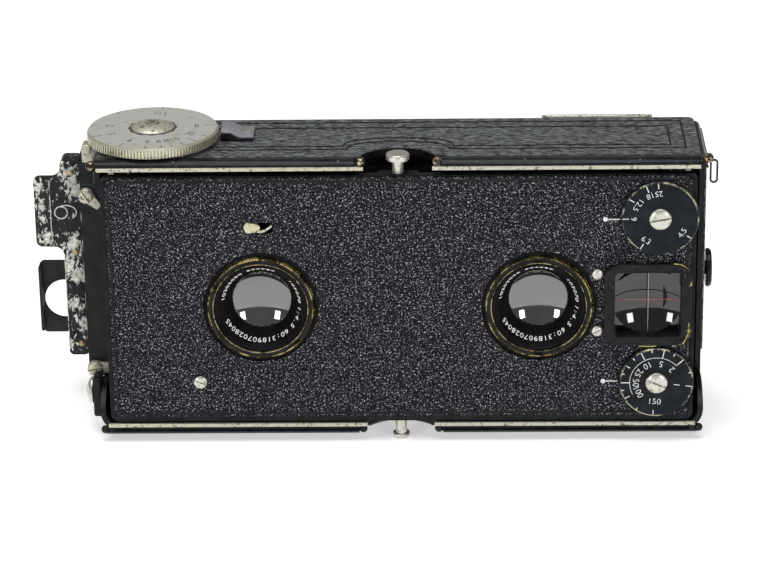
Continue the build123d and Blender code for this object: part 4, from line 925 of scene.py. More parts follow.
def dress_node(node: str, finish: Finish) -> None:
    """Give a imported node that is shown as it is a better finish."""
    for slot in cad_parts[node].material_slots:
        slot.material = finish.material()
    LOG.info("%s: packed node in %s", node, finish.name)


def arc(centre: Spot, radius: float, start: float, end: float, steps: int) -> list[Spot]:
    """Points along an arc, with its angles in degrees."""
    turns = [math.radians(start + (end - start) * step / steps) for step in range(steps + 1)]
    x, y = centre
    return [(x + radius * math.cos(turn), y + radius * math.sin(turn)) for turn in turns]


# ---- dials -------------------------------------------------------------------


@dataclass(frozen=True)
class Mark:
    """One mark of a scale: its angle, its number, and the reach of its line from the rim."""

    angle: float
    number: str = ""
    line: float = 1.3
    wide: float = 0.2


@dataclass(frozen=True)
class Scale:
    """Marks filled with paint on a round face."""

    rim: float
    digit: float
    digit_radius: float
    raised: float = 0.04

    def made(self, name: str, marks: Sequence[Mark], extra: Sequence[Blank] = ()) -> Blank:
        """Lines and numbers of a scale, lying on the bench about the origin.

        Args:
            name: name of the piece.
            marks: the scale's marks.
            extra: more blanks to join in, already in their place.

        Returns:
            All of it as one blank.
        """
        parts = list(extra)
        for count, mark in enumerate(marks):
            turn = math.radians(mark.angle)
            if mark.line:
                middle = self.rim - mark.line / 2
                line = Blank.slab(f"{name}_line_{count}", (mark.line, mark.wide, self.raised))
                line.pick(Element.FACES, lambda place, normal: normal.z > 0.5)
                bpy.ops.mesh.inset(thickness=0.02 * MM, depth=0)
                x, y = middle * math.cos(turn), middle * math.sin(turn)
                parts.append(line.shift(x, y, 0, mark.angle))
            if mark.number:
                label = f"{name}_number_{count}"
                number = Blank.digits(label, mark.number, self.digit, self.raised)
                x, y = self.digit_radius * math.cos(turn), self.digit_radius * math.sin(turn)
                parts.append(number.shift(x, y, 0, mark.angle + DIGIT_TURN))
        scale = joined(parts)
        scale.piece.name = name
        return scale


@dataclass(frozen=True)
class FocusDial:
    """Large ribbed focusing dial on the top, with its hub."""

    centre: Point = (-55.8, 0.0, 66.95)
    radius: float = 14.9
    thick: float = 2.6
    ribs: int = 124
    hub: float = 4.9
    boss: Spot = (-2.09, -2.09)
    pin: Spot = (-2.088, -2.088)
    marks: tuple[Mark, ...] = (
        Mark(85, "1½", 1.3), Mark(130, "", 1.1), Mark(172, "2", 1.6), Mark(205, "3", 2.3),
        Mark(243, "4", 2.3), Mark(268, "5", 1.8), Mark(283, "6", 1.5), Mark(293, "8", 1.5),
        Mark(304, "10", 2.2), Mark(318, "", 2.8), Mark(334, "20", 1.4), Mark(6, "∞", 2.6),
    )

    def build(self) -> None:
        """Ribbed disc, scale, hub and the dark scalloped ring round it."""
        x, y, z = self.centre
        rim, thick = self.radius, self.thick
        profile = [(13.7, 0.0), (14.7, 0.12), (rim, 0.35), (rim, 2.1), (14.55, thick), (5.6, thick)]
        disc = Blank.turned("focus_dial_disc", profile, self.ribs * 2)
        disc.flute(rim - 0.2, 0.04, 0.42).smooth(20)
        disc.set_down(self.centre, Facing.TOP).dress("focus_knob", RIB_NICKEL, "focus_dial")
        top = thick + 0.012
        flat = [(14.5, thick - 0.2), (14.5, top), (5.4, top)]
        face = Blank.turned("focus_dial_face", flat, self.ribs)
        face.smooth(24).set_down(self.centre, Facing.TOP).dress("focus_knob", DIAL_NICKEL)
        scale = Scale(rim=rim - 0.5, digit=2.0, digit_radius=10.0)
        marks = scale.made("focus_dial_scale", self.marks)
        marks.set_down((x, y, z + top), Facing.TOP)
        marks.dress("focus_knob", BLACK_FILLING)
        self._hub(x, y, z + thick)

    def _hub(self, x: float, y: float, top: float) -> None:
        """Domed hub with a boss and a pin hole, and the scalloped ring that it sits in."""
        rim = self.hub
        band = [(rim + 0.5, -0.05), (rim + 0.42, 0.05), (rim - 0.1, 0.05), (rim - 0.1, -0.05)]
        ring = Blank.turned("focus_hub_ring", band, 48, closed=True)
        ring.pick(Element.POINTS, lambda place, _: (
            place.xy.length > rim + 0.3
            and round(math.degrees(math.atan2(place.y, place.x)) / 7.5) % 4 < 2
        ))
        bpy.ops.transform.resize(value=(1.045, 1.045, 1), center_override=(0, 0, 0))
        bpy.ops.object.mode_set(mode="OBJECT")
        ring.set_down((x, y, top), Facing.TOP).dress("focus_knob", BLACK_FILLING)
        dome = [
            (rim, -0.2), (rim, 0.2), (rim - 0.25, 0.42), (3.9, 0.78), (2.9, 1.02), (1.95, 1.14),
            (1.7, 1.14), (1.6, 1.02), (1.4, 1.02), (1.32, 1.3), (1.1, 1.38), (0.62, 1.38),
            (0.55, 1.1), (0.0, 1.05),
        ]
        hub = Blank.turned("focus_hub", dome, 56).smooth(26)
        hub.set_down((x, y, top), Facing.TOP).dress("focus_knob", CREAM_NICKEL, "dial_hub")
        rounds = (((0, 0), 1.35, 1.32), ((0, 0), 0.6, 1.4), (self.boss, 0.46, 1.0))
        outlines = []
        for count, (middle, reach, rise) in enumerate(rounds):
            points = [(px, py, rise) for px, py in arc(middle, reach, 0, 360, 32)]
            outlines.append(Blank.cord(f"focus_hub_outline_{count}", points, 0.09, 2))
        joined(outlines).set_down((x, y, top), Facing.TOP).dress("focus_knob", BLACK_FILLING)
        tip = [(0.42, 0), (0.42, 0.2), (0.3, 0.3), (0.0, 0.33)]
        pin = Blank.turned("focus_hub_pin", tip, 20).smooth()
        pin.shift(*self.pin, 0.84).set_down((x, y, top), Facing.TOP)
        pin.dress("focus_knob", AGED_BRASS)


@dataclass(frozen=True)
class FrontDial:
    """Small slate dial on the front, with a milled edge, a white scale and its slotted screw."""

    name: str
    body: str
    centre: Spot
    radius: float
    marks: tuple[Mark, ...]
    pointer: tuple[float, float, float]
    digit: float = 1.25
    digit_radius: float = 5.3
    ring: tuple[float, float, float] | None = None
    teeth: int = 88
    slot_turn: float = 10.0
    front: float = -15.7
    thick: float = 1.2

    def build(self) -> None:
        """Disc, scale, screw and the fixed pointer beside it."""
        x, z = self.centre
        rim = self.radius
        profile = [(rim - 0.15, 0.0), (rim, 0.12), (rim, 0.85), (rim - 0.3, self.thick)]
        disc = Blank.turned(f"{self.name}_dial_disc", profile, self.teeth * 2)
        disc.flute(rim - 0.1, 0.03, 0.14).smooth(24)
        disc.set_down((x, self.front, z), Facing.FRONT)
        disc.dress(self.body, SLATE, f"{self.name}_dial")
        bevel = [(rim - 0.02, 0.86), (rim - 0.14, 1.05), (rim - 0.3, 1.215), (rim - 0.42, 1.21)]
        edge = Blank.turned(f"{self.name}_dial_edge", bevel, 120, closed=True).smooth(40)
        edge.set_down((x, self.front, z), Facing.FRONT).dress(self.body, EDGE_WEAR)
        extra = []
        if self.ring:
            radius, start, end = self.ring
            points = [(px, py, 0.0) for px, py in arc((0, 0), radius, start, end, 40)]
            extra.append(Blank.cord(f"{self.name}_ring", points, 0.07, 1))
        scale = Scale(rim=rim - 0.35, digit=self.digit, digit_radius=self.digit_radius)
        marks = scale.made(f"{self.name}_dial_scale", self.marks, extra)
        marks.set_down((x, self.front - self.thick, z), Facing.FRONT)
        marks.dress(self.body, WHITE_FILLING)
        screw = Blank.screw(f"{self.name}_dial_screw", 2.45, 0.9, 0.56)
        screw.set_down((x, self.front - self.thick, z), Facing.FRONT, self.slot_turn)
        screw.dress(self.body, BRIGHT_NICKEL, f"{self.name}_screw")
        dot_x, dot_z, tip_x = self.pointer
        dot = Blank.turned(f"{self.name}_pointer", [(0.54, 0), (0.54, 0.04), (0.3, 0.07)], 24)
        reach = tip_x - dot_x
        line = Blank.slab(f"{self.name}_pointer_line", (reach, 0.26, 0.06), (reach / 2, 0, 0.02))
        dot.join(line).set_down((dot_x, COVER_FRONT, dot_z), Facing.FRONT)
        dot.dress("standard", WHITE_FILLING)


# ---- front -------------------------------------------------------------------


@dataclass(frozen=True)
class LensMount:
    """One taking lens: knurled ring, stepped cell, glass and the marks on its cone."""

    side: str
    x: float
    notches: tuple[float, ...]
    z: float = 31.4
    face: float = -14.8
    glass_radius: float = 6.62
    glass_height: float = -5.1
    dish: float = 1.7
    cone_mouth: Spot = (9.9, 0.5)
    cone_foot: Spot = (7.1, -4.75)
    figure_reach: float = 8.7
    figures: tuple[tuple[float, float, str], ...] = (
        (171, -7.0, "10203050"), (108, -7.4, "604080"), (40, -7.0, "105070"), (-7, -7.4, "1:4.5"),
        (-50, -7.3, "60:318907028045"),
    )

    def build(self) -> None:
        """Build the mount from the outside in."""
        self._ring()
        self._cell()
        self._marks()
        self._glass()

    def _place(self, blank: Blank) -> Blank:
        """Set a piece on this lens's axis, at the face behind the ring."""
        return blank.set_down((self.x, self.face, self.z), Facing.FRONT)

    def _ring(self) -> None:
        """Knurled brass ring with a black flat and spanner notches, and a flat near-black band
        round it, set off up and to the right, that is a painted shadow.
        """
        name = f"{self.side}_ring"
        teeth = [(12.4, 0.0), (12.4, 0.55), (12.02, 1.05), (11.75, 1.05), (11.75, 0.0)]
        knurl = Blank.turned(f"{name}_knurl", teeth, 240, closed=True)
        knurl.flute(12.1, 0.03, 0.24, 0.9).smooth(14)
        self._place(knurl).dress("standard", RIM_BRASS, "lens_rings")
        top = [(11.78, 0), (11.78, 1.02), (11.55, 1.14), (11.1, 1.16), (10.98, 1.05), (10.98, 0)]
        flat = Blank.turned(f"{name}_flat", top, 96, closed=True)
        # near-black flat band round the ring, off-centre up and right: a painted shadow along the
        # ring's top and right
        shadow_band_profile = [(12.95, 0.81), (12.95, 0.84), (12.2, 0.84), (12.2, 0.81)]
        band = Blank.turned(f"{name}_band", shadow_band_profile, 96, closed=True)
        band.set_down((self.x + 0.3, self.face, self.z + 0.55), Facing.FRONT)
        band.dress("standard", SHADOW_BAND_BLACK)
        for notch in self.notches:
            turn = math.radians(notch)
            spot = Vector((11.4 * math.cos(turn), 11.4 * math.sin(turn)))
            flat.pick(Element.FACES, lambda place, normal: (
                normal.z > 0.3 and (place.xy - spot).length < 0.62
            ))
            bpy.ops.mesh.extrude_region_move(TRANSFORM_OT_translate={"value": (0, 0, -0.55 * MM)})
            bpy.ops.object.mode_set(mode="OBJECT")
        self._place(flat.smooth(30)).dress("standard", RING_PAINT)

    def _cell(self) -> None:
        """Black cone between a bright brass lip and the glass."""
        name = f"{self.side}_cell"
        edge = [(10.96, 0.2), (10.94, 0.95), (10.86, 1.16), (10.68, 1.16), (10.6, 1.0), (10.3, 0.2)]
        lip = Blank.turned(f"{name}_lip", edge, 96, closed=True).smooth(38)
        self._place(lip).dress("standard", LINE_BRASS)
        steps = [
            (10.36, 0.9), (10.2, 0.98), self.cone_mouth, self.cone_foot, (6.95, -4.85),
            (6.8, -5.15), (6.64, -5.25), (6.64, -6.5), (7.6, -6.5), (10.36, -0.4),
        ]
        cone = Blank.turned(f"{name}_cone", steps, 96, closed=True).smooth(28)
        self._place(cone).dress("standard", CELL_PAINT, "front_cells")

    def _marks(self) -> None:
        """Plain figures round the cone."""
        parts = []
        for start, step, figures in self.figures:
            for count, figure in enumerate(figures):
                letter = Blank.digits(f"{self.side}_figure_{start}_{count}", figure, 1.45, 0.05)
                parts.append(self._on_cone(letter, start + step * count - 90))
        marks = joined(parts)
        marks.piece.name = f"{self.side}_cell_marks"
        self._place(marks).dress("standard", CONE_FILLING_LIT)

    def _on_cone(self, blank: Blank, turn: float) -> Blank:
        """Lay a flat mark on the cone, its head outwards."""
        (mouth, top), (foot, low) = self.cone_mouth, self.cone_foot
        height = top - (mouth - self.figure_reach) * (top - low) / (mouth - foot) + 0.05
        lean = Matrix.Rotation(math.atan2(top - low, mouth - foot), 4, "X")
        out = Matrix.Translation((0, self.figure_reach * MM, height * MM))
        return blank.move(Matrix.Rotation(math.radians(turn), 4, "Z") @ out @ lean)

    def _glass(self) -> None:
        """Dished glass in a thin bright seat."""
        rim = self.glass_radius
        ball = (rim**2 + self.dish**2) / (2 * self.dish)
        steps = [rim * math.cos(step / 14 * math.pi / 2) for step in range(1, 14)]
        low = self.glass_height - self.dish
        profile = [(rim, low - 0.4), (rim, self.glass_height)]
        profile += [(radius, low + ball - (ball**2 - radius**2) ** 0.5) for radius in steps]
        glass = Blank.turned(f"{self.side}_front_lens", [*profile, (0.0, low)], 72).smooth(50)
        self._place(glass).dress("standard", COATED_GLASS, "front_glasses")
        seat = arc((0, 0), rim + 0.06, 0, 360, 72)
        seat = [(x, y, self.glass_height + 0.12) for x, y in seat]
        line = Blank.cord(f"{self.side}_lens_seat", seat, 0.07, 2).smooth(60)
        self._place(line).dress("standard", SEAT_BRASS)


@dataclass(frozen=True)
class FrontPlate:
    """Pebbled front cover with its rolled border, screws and pull knobs."""

    half_width: float = 65.7
    low: float = 4.7
    high: float = 62.7
    lever: Spot = (-32.9, 51.2)
    screws: tuple[tuple[float, float, float, float], ...] = (
        (-45.8, 13.3, 1.5, -18), (44.7, 25.5, 1.2, 30), (44.7, 39.3, 1.2, -75),
    )

    def build(self) -> None:
        """Cover, border, screws, lever and knobs."""
        cover = Blank.copied("front_cover_plate", "front_cover").soften(0.35, 3, 40).smooth()
        cover.dress("standard", COVER_ENAMEL, "front_cover")
        self._border()
        self._screws()
        self._lever()
        softened("pull_knob_pair", "pull_knobs", "standard", BRIGHT_NICKEL, 0.42, 3)

    def _border(self) -> None:
        """Smooth black bead let in along the edge of the cover."""
        inset, corner = 0.75, 2.2
        right, left = self.half_width - inset, -self.half_width + inset
        top, low = self.high - inset, self.low + inset
        outline = []
        east, west, north, south = right - corner, left + corner, top - corner, low + corner
        corners = ((east, north), (west, north), (west, south), (east, south))
        for quarter, centre in enumerate(corners):
            outline += arc(centre, corner, quarter * 90, quarter * 90 + 90, 6)
        outline.append(outline[0])
        points = [(x, COVER_FRONT + 0.12, z) for x, z in outline]
        border = Blank.cord("front_cover_border", points, 0.34, 3)
        border.smooth(60).dress("standard", BODY_ENAMEL)

    def _screws(self) -> None:
        """Slotted screws of the cover and the finder."""
        heads = []
        for count, (x, z, radius, turn) in enumerate(self.screws):
            head = Blank.screw(f"cover_screw_{count}", radius, 0.5, 0.3)
            heads.append(head.set_down((x, COVER_FRONT, z), Facing.FRONT, turn))
        joined(heads).dress("standard", BRIGHT_NICKEL, "front_screws")

    def _lever(self) -> None:
        """Finger tab of the release lever, with its bright curved tail."""
        x, z = self.lever
        proud = COVER_FRONT - 0.42
        thumb = [(1.25, -0.3), (1.3, 0.1), (1.15, 0.3), (0.9, 0.36), (0.0, 0.4)]
        tab = Blank.turned("lever_tab", thumb, 40)
        tab.pick(Element.FACES, lambda place, normal: place.x > 0.02)
        bpy.ops.transform.resize(value=(1.9, 0.8, 1), center_override=(0, -0.3 * MM, 0))
        bpy.ops.object.mode_set(mode="OBJECT")
        tab.shift(-0.55, 0)
        tab.smooth(50).set_down((x, proud, z), Facing.FRONT)
        tab.dress("release_lever_body", LEVER_NICKEL)
        sweep = ((1.2, -0.95), (2.1, -1.0), (3.0, -0.72), (3.9, -0.1), (4.5, 0.45))
        curve = [(x + px, proud, z + pz) for px, pz in sweep]
        tail = Blank.cord("lever_tail", curve, 0.32, 3).smooth(60)
        tail.dress("release_lever_body", BRIGHT_NICKEL)


FINDER_RUBS: tuple[tuple[float, tuple[Spot, ...]], ...] = (
    (0.22, ((61.7, 42.1), (63.4, 41.9), (64.4, 41.3), (65.1, 40.4), (65.5, 39.0), (65.6, 36.4))),
    (0.32, ((65.4, 27.8), (65.3, 25.6), (64.9, 24.1), (64.2, 23.0), (63.1, 22.3))),
    (0.16, ((47.8, 28.0), (47.7, 26.2), (47.8, 24.1))),
    (0.07, ((48.4, 23.9), (52.0, 23.95), (57.0, 23.9), (63.4, 23.95))),
    (0.2, ((54.2, 22.2), (56.0, 22.1), (58.2, 22.2))),
    (0.07, ((63.9, 40.3), (64.0, 35.0), (64.2, 29.3))),
    (0.08, ((65.65, 35.4), (65.6, 32.0), (65.6, 29.3))),
)


@dataclass(frozen=True)
class Finder:
    """Square finder frame worn to brass, its glass and its crossed lines."""

    centre: Spot = (56.1, 32.2)
    glass_front: float = -13.2
    opening: Spot = (15.0, 15.5)
    frame_front: float = -16.62
    curve: float = 15.5
    thick: float = 1.2
    dish: float = 2.3

    def build(self) -> None:
        """Frame, glass with a dished face, lines, and brass where the frame is worn."""
        softened("finder_bezel", "finder_frame", "standard", FINDER_PAINT, 0.3, 3)
        x, z = self.centre
        wide, tall = self.opening
        glass = Blank.slab("finder_front_glass", (wide, tall, 5.4), (0, 0, -1.5))
        centre = (0, 0, self.thick + self.curve - self.dish)
        glass.cut(Blank.ball("finder_grinding_ball", self.curve, centre, 128, 96))
        glass.smooth(30).set_down((x, self.glass_front + self.thick, z), Facing.FRONT)
        glass.dress("standard", FINDER_GLASS, "finder_lens")
        front = self.glass_front - 0.08
        steps = [step / 12 for step in range(-6, 7)]
        across = [(x + step * wide, front, z) for step in steps]
        Blank.cord("finder_line_across", across, 0.07, 1).dress("standard", RED_LINE)
        upright = [(x + 0.2, front - 0.02, z + step * tall) for step in steps]
        Blank.cord("finder_line_upright", upright, 0.07, 1).dress("standard", PINK_LINE)
        rubs = []
        for count, (radius, spots) in enumerate(FINDER_RUBS):
            points = [(px, self.frame_front, pz) for px, pz in spots]
            rubs.append(Blank.cord(f"finder_rub_{count}", points, radius, 2))
        joined(rubs).smooth(60).dress("standard", RUB_BRASS)


@dataclass(frozen=True)
class Latch:
    """Teardrop catch that turns over the edge of the standard."""

    name: str
    height: float
    angle: float
    pointed: bool
    x: float = -71.2
    front: float = -5.0
    thick: float = 1.0
    radius: float = 1.75

    def build(self) -> None:
        """Round head drawn out to a tail on one side."""
        radius = self.radius
        head = [(radius, 0.0), (radius, self.thick * 0.8), (radius - 0.2, self.thick)]
        blank = Blank.turned(f"{self.name}_catch", head, 48)
        blank.pick(Element.FACES, lambda place, normal: (
            place.x > radius * 0.62 and abs(normal.z) < 0.5
        ))
        reach = 2.35
        bpy.ops.mesh.extrude_region_move(TRANSFORM_OT_translate={"value": (reach * MM, 0, 0)})
        narrow = 0.5 if self.pointed else 0.95
        end = ((radius + reach) * MM, 0, self.thick / 2 * MM)
        bpy.ops.transform.resize(value=(0.1, narrow, 1), center_override=end)
        blank.close()
        blank.soften(0.1, 2).smooth()
        blank.set_down((self.x, self.front + self.thick, self.height), Facing.FRONT, self.angle)
        blank.dress(f"{self.name}_body", CREAM_NICKEL, self.name)


@dataclass(frozen=True)
class TopCover:
    """Leathered top with tooled lines, beads, strips and the focusing index."""

    top: float = 66.2
    rear_lines: Spot = (12.6, 8.9)
    front_lines: Spot = (-3.8, -5.85)
    side_lines: Spot = (61.3, 64.6)
    left: float = -66.5
    ball_front: float = -14.4
    balls: tuple[Spot, ...] = ((-68.6, 65.5), (-8.3, 66.0), (8.8, 66.0), (69.1, 66.5))
    stops: tuple[float, ...] = (-68.3, -8.7, 8.7, 68.3)

    def build(self) -> None:
        """Leather, tooling, metal edging and index."""
        softened("top_leather_sheet", "top_leather", "camera_body", TOP_LEATHER, 0.22, 3)
        softened("base_leather_sheet", "base_leather", "camera_body", TOP_LEATHER, 0.2, 2)
        softened("side_leather_sheets", "side_leathers", "camera_body", SIDE_LEATHER, 0.15, 2)
        self._tooling()
        softened("lip_strip_set", "lip_strips", "camera_body", CREAM_NICKEL, 0.12, 2)
        softened("lip_bead_set", "lip_beads", "camera_body", BEAD_ENAMEL, 0.25, 3)
        balls = [Blank.ball(f"top_bead_ball_{count}", 1.15, (x, self.ball_front, z))
                 for count, (x, z) in enumerate(self.balls)]
        joined(balls).smooth(60).dress("camera_body", BALL_BRASS, "bead_ends")
        stops = [Blank.ball(f"base_bead_stop_{count}", 0.95, (x, self.ball_front, 1.0))
                 for count, x in enumerate(self.stops)]
        joined(stops).smooth(60).dress("camera_body", BEAD_ENAMEL)
        softened("index_block", "index_base", "camera_body", BODY_ENAMEL, 0.15, 2)
        softened("index_spring", "index_clip", "camera_body", BLUED_STEEL, 0.08, 2)

    def _tooling(self) -> None:
        """Pressed lines round the border and the finger notch: a low ridge in a paler copy of the
        leather, a painted highlight, beside a raised near-black line that is painted shade for the
        pressed groove.
        """
        inner, outer = self.side_lines
        (rear_out, rear_in), (front_in, front_out) = self.rear_lines, self.front_lines
        around = [math.radians(angle) for angle in range(180, -1, -6)]
        runs: list[list[Spot]] = [
            [(self.left, rear_out), (outer, rear_out), (outer, front_out)],
            [(self.left, rear_in), (inner, rear_in), (inner, front_in)],
        ]
        for edge, half, rise, end in ((front_in, 12.5, 5.7, inner), (front_out, 11.6, 5.35, outer)):
            swing = [(half * math.cos(turn), edge + rise * math.sin(turn) ** 0.8)
                     for turn in around]
            runs.append([(self.left, edge), *swing, (end, edge)])
        for count, run in enumerate(runs):
            # the ridge is dressed in the paler copy (painted highlight), the line beside it in the
            # near-black copy (painted shade of the groove)
            for kind, shift, radius, finish in (
                ("crest_highlight", 0.0, 0.24, TOOLED_CREST_LIT), ("groove", 0.5, 0.28, TOOLED_GROOVE_SHADE),
            ):
                points = [(x, y - shift, self.top - 0.08) for x, y in self._fine(run)]
                line = Blank.cord(f"tooled_{kind}_{count}", points, radius, 2)
                line.smooth(60).dress("camera_body", finish)

    @staticmethod
    def _fine(run: Sequence[Spot]) -> list[Spot]:
        """Divide long straights into 4 mm steps."""
        points = [run[0]]
        for (x0, y0), (x1, y1) in zip(run, run[1:]):
            steps = max(1, round(math.hypot(x1 - x0, y1 - y0) / 4))
            points += [(x0 + (x1 - x0) * step / steps, y0 + (y1 - y0) * step / steps)
                       for step in range(1, steps + 1)]
        return points


@dataclass(frozen=True)
class SideFittings:
    """Stud, release button, loop, lugs and catches' screws."""

    stud: Point = (-69.2, -7.8, 8.2)
    button: Point = (70.4, 5.4, 32.6)
    catches: tuple[Spot, ...] = ((54.9, -58), (12.3, 12))

    def build(self) -> None:
        """Turned stud, and softened copies of the plainer fittings."""
        x, y, z = self.stud
        knob = [
            (2.1, 0.0), (1.5, 0.4), (1.35, 1.5), (2.2, 2.0), (3.1, 2.25), (3.1, 2.5),
            (2.8, 2.95), (1.9, 3.45), (0.9, 3.75), (0.0, 3.85),
        ]
        stud = Blank.turned("strap_stud_knob", knob, 48).smooth(30)
        stud.set_down((x, y, z), Facing.LEFT).dress("camera_body", BRIGHT_NICKEL, "strap_stud")
        collar = Blank.slab("strap_stud_collar", (2.1, 5.6, 9.6), (x - 1.05, y, z - 1.0))
        collar.soften(0.6, 3).smooth(50)
        collar.dress("camera_body", BODY_ENAMEL)
        cap = [
            (1.6, -3.5), (1.6, 0.05), (4.2, 0.1), (4.5, 0.4), (4.5, 1.0), (4.15, 1.4),
            (3.4, 1.45), (3.1, 1.2), (1.6, 1.05), (0.0, 1.0),
        ]
        button = Blank.turned("release_button_cap", cap, 56).smooth(30)
        button.set_down(self.button, Facing.RIGHT)
        button.dress("release_button_body", BEAD_ENAMEL, "release_button")
        softened("channel_lug_pair", "channel_lugs", "camera_body", CREAM_NICKEL, 0.3, 3)
        heads = []
        for count, (z, turn) in enumerate(self.catches):
            head = Blank.screw(f"catch_screw_{count}", 1.7, 0.8, 0.32)
            heads.append(head.set_down((-71.2, -5.02, z), Facing.FRONT, turn))
        joined(heads).dress("camera_body", CREAM_NICKEL, "latch_screws")
        softened("strap_wire", "strap_loop", "strap_loop_body", BLADE_STEEL, 0.12, 2)
        softened("rear_sight_leaf", "rear_sight", "rear_sight_body", CREAM_NICKEL, 0.12, 2)


@dataclass(frozen=True)
class PlateHolder:
    """Plate holder with its worn grip, and the dark slide with its thumb tab."""

    grip_front: float = 14.3
    digit: Spot = (-79.7, 43.75)
    rivets: tuple[Spot, ...] = ((-77.0, 53.7), (-76.7, 33.8), (-76.55, 10.5))
    edges: tuple[Point, ...] = ((-82.15, 36.4, 51.8), (-74.9, 9.2, 55.0), (-79.38, 9.0, 33.4))

    def build(self) -> None:
        """Holder, slide, rivets, digit and rubbed edges."""
        softened("holder_body", "plate_holder", "holder", GRIP_PAINT, 0.28, 2)
        softened("slide_sheet", "dark_slide", "dark_slide_body", SLIDE_PAINT, 0.1, 2)
        rivets = []
        dome = [(0.75, -0.05), (0.75, 0.05), (0.5, 0.2), (0.0, 0.26)]
        for count, (x, z) in enumerate(self.rivets):
            rivet = Blank.turned(f"grip_rivet_{count}", dome, 24).smooth()
            rivets.append(rivet.set_down((x, self.grip_front, z), Facing.FRONT))
        joined(rivets).dress("holder", AGED_BRASS)
        x, z = self.digit
        loop = arc((0, 0), 1.5, 100, 460, 28)
        tail = (
            (-0.26, 1.48), (0.5, 1.72), (1.4, 1.8), (2.3, 1.62), (3.1, 1.18), (3.6, 0.5),
            (3.6, -0.3), (3.2, -0.95), (2.6, -1.3),
        )
        strokes = []
        for name, run in (("grip_number", loop), ("grip_number_tail", tail)):
            points = [(x + px, self.grip_front, z + pz) for px, pz in run]
            strokes.append(Blank.cord(name, points, 0.15, 2))
        number = joined(strokes)
        number.dress("holder", WHITE_FILLING)
        rubbed = []
        for count, (x, low, high) in enumerate(self.edges):
            steps = [
                (x + 0.05 * math.sin(step * 1.7), self.grip_front, low + (high - low) * step / 24)
                for step in range(25)
            ]
            rubbed.append(Blank.cord(f"grip_rubbed_edge_{count}", steps, 0.13, 2))
        joined(rubbed).smooth(60).dress("holder", RUBBED_EDGE)


@dataclass(frozen=True)
class Bellows:
    """Pleated bellows from the focusing frame to the standard, with the divider inside."""

    half_width: float = 56.6
    low: float = 9.4
    high: float = 57.6
    front: float = -3.75
    rear: float = 6.85
    pleats: int = 9
    pleat: float = 2.4

    def build(self) -> None:
        """Zigzag tube and divider."""
        mid = (self.low + self.high) / 2
        tall = self.high - self.low
        Blank.alone()
        bpy.ops.mesh.primitive_plane_add(size=1)
        bpy.context.object.scale = (2 * self.half_width * MM, tall * MM, 1)
        bpy.ops.object.transform_apply(scale=True)
        tube = Blank.named("bellows_tube")
        bpy.ops.object.mode_set(mode="EDIT")
        bpy.ops.mesh.bevel(offset=3 * MM, segments=4, affect="VERTICES")
        bpy.ops.mesh.delete(type="ONLY_FACE")
        bpy.ops.mesh.select_mode(type="EDGE")
        bpy.ops.mesh.select_all(action="SELECT")
        step = (self.rear - self.front) / (2 * self.pleats)
        wide, high = 2 * self.half_width, tall
        for fold in range(2 * self.pleats):
            bpy.ops.mesh.extrude_edges_move(TRANSFORM_OT_translate={"value": (0, 0, step * MM)})
            change = -2 * self.pleat if fold % 2 == 0 else 2 * self.pleat
            grow = ((wide + change) / wide, (high + change) / high, 1)
            bpy.ops.transform.resize(value=grow, center_override=(0, 0, 0))
            wide, high = wide + change, high + change
        tube.close()
        self._wall(tube, 0.25)
        tube.smooth(30).set_down((0, self.rear, mid), Facing.FRONT)
        self._hang(tube, "bellows")
        size = (0.5, tall - 2 * self.pleat - 1.4, self.rear - self.front - 0.3)
        sheet = Blank.slab("bellows_divider", size)
        sheet.pick(Element.FACES, lambda place, normal: abs(normal.z) < 0.5)
        bpy.ops.mesh.subdivide(number_cuts=7)
        bpy.ops.object.mode_set(mode="OBJECT")
        sheet.set_down((0, (self.rear + self.front) / 2, mid), Facing.FRONT)
        self._hang(sheet, "septum")

    @staticmethod
    def _wall(blank: Blank, thick: float) -> None:
        """Give an open sheet a wall of a thickness, inwards."""
        wall = blank.piece.modifiers.new("wall", "SOLIDIFY")
        wall.thickness = thick * MM
        wall.offset = -1
        Blank.alone(blank.piece)
        bpy.ops.object.modifier_apply(modifier="wall")

    def _hang(self, blank: Blank, node: str) -> None:
        """Dress a soft piece, bake its transform and hide the node it stands for."""
        blank.piece.data.materials.clear()
        blank.piece.data.materials.append(BELLOWS_CLOTH.material())
        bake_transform(blank.piece)
        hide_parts(node)
        LOG.info("%s: %d faces, blended", blank.piece.name, len(blank.piece.data.polygons))


NODE_FINISHES: tuple[tuple[Finish, tuple[str, ...]], ...] = (
    (BODY_ENAMEL, ("body_shell", "back_channel", "finder_eyepiece")),
    (BELLOWS_CLOTH, ("light_seals",)),
    (AGED_BRASS, ("tripod_bush",)),
    (BRIGHT_NICKEL, ("body_screws",)),
    (CREAM_NICKEL, ("sight_ears", "release_lever")),
    (INNER_BLACK, ("focus_frame", "lens_board", "shutter_case", "shutter_back")),
    (PLAIN_STEEL, ("focus_shaft", "strut_brackets", "rear_arms", "front_arms")),
    (CELL_PAINT, ("rear_cells",)),
    (CLEAR_GLASS, ("rear_glasses", "glass_plate")),
    (BLADE_STEEL, ("left_iris", "right_iris", "left_sector", "right_sector")),
)


# ---- stage -------------------------------------------------------------------


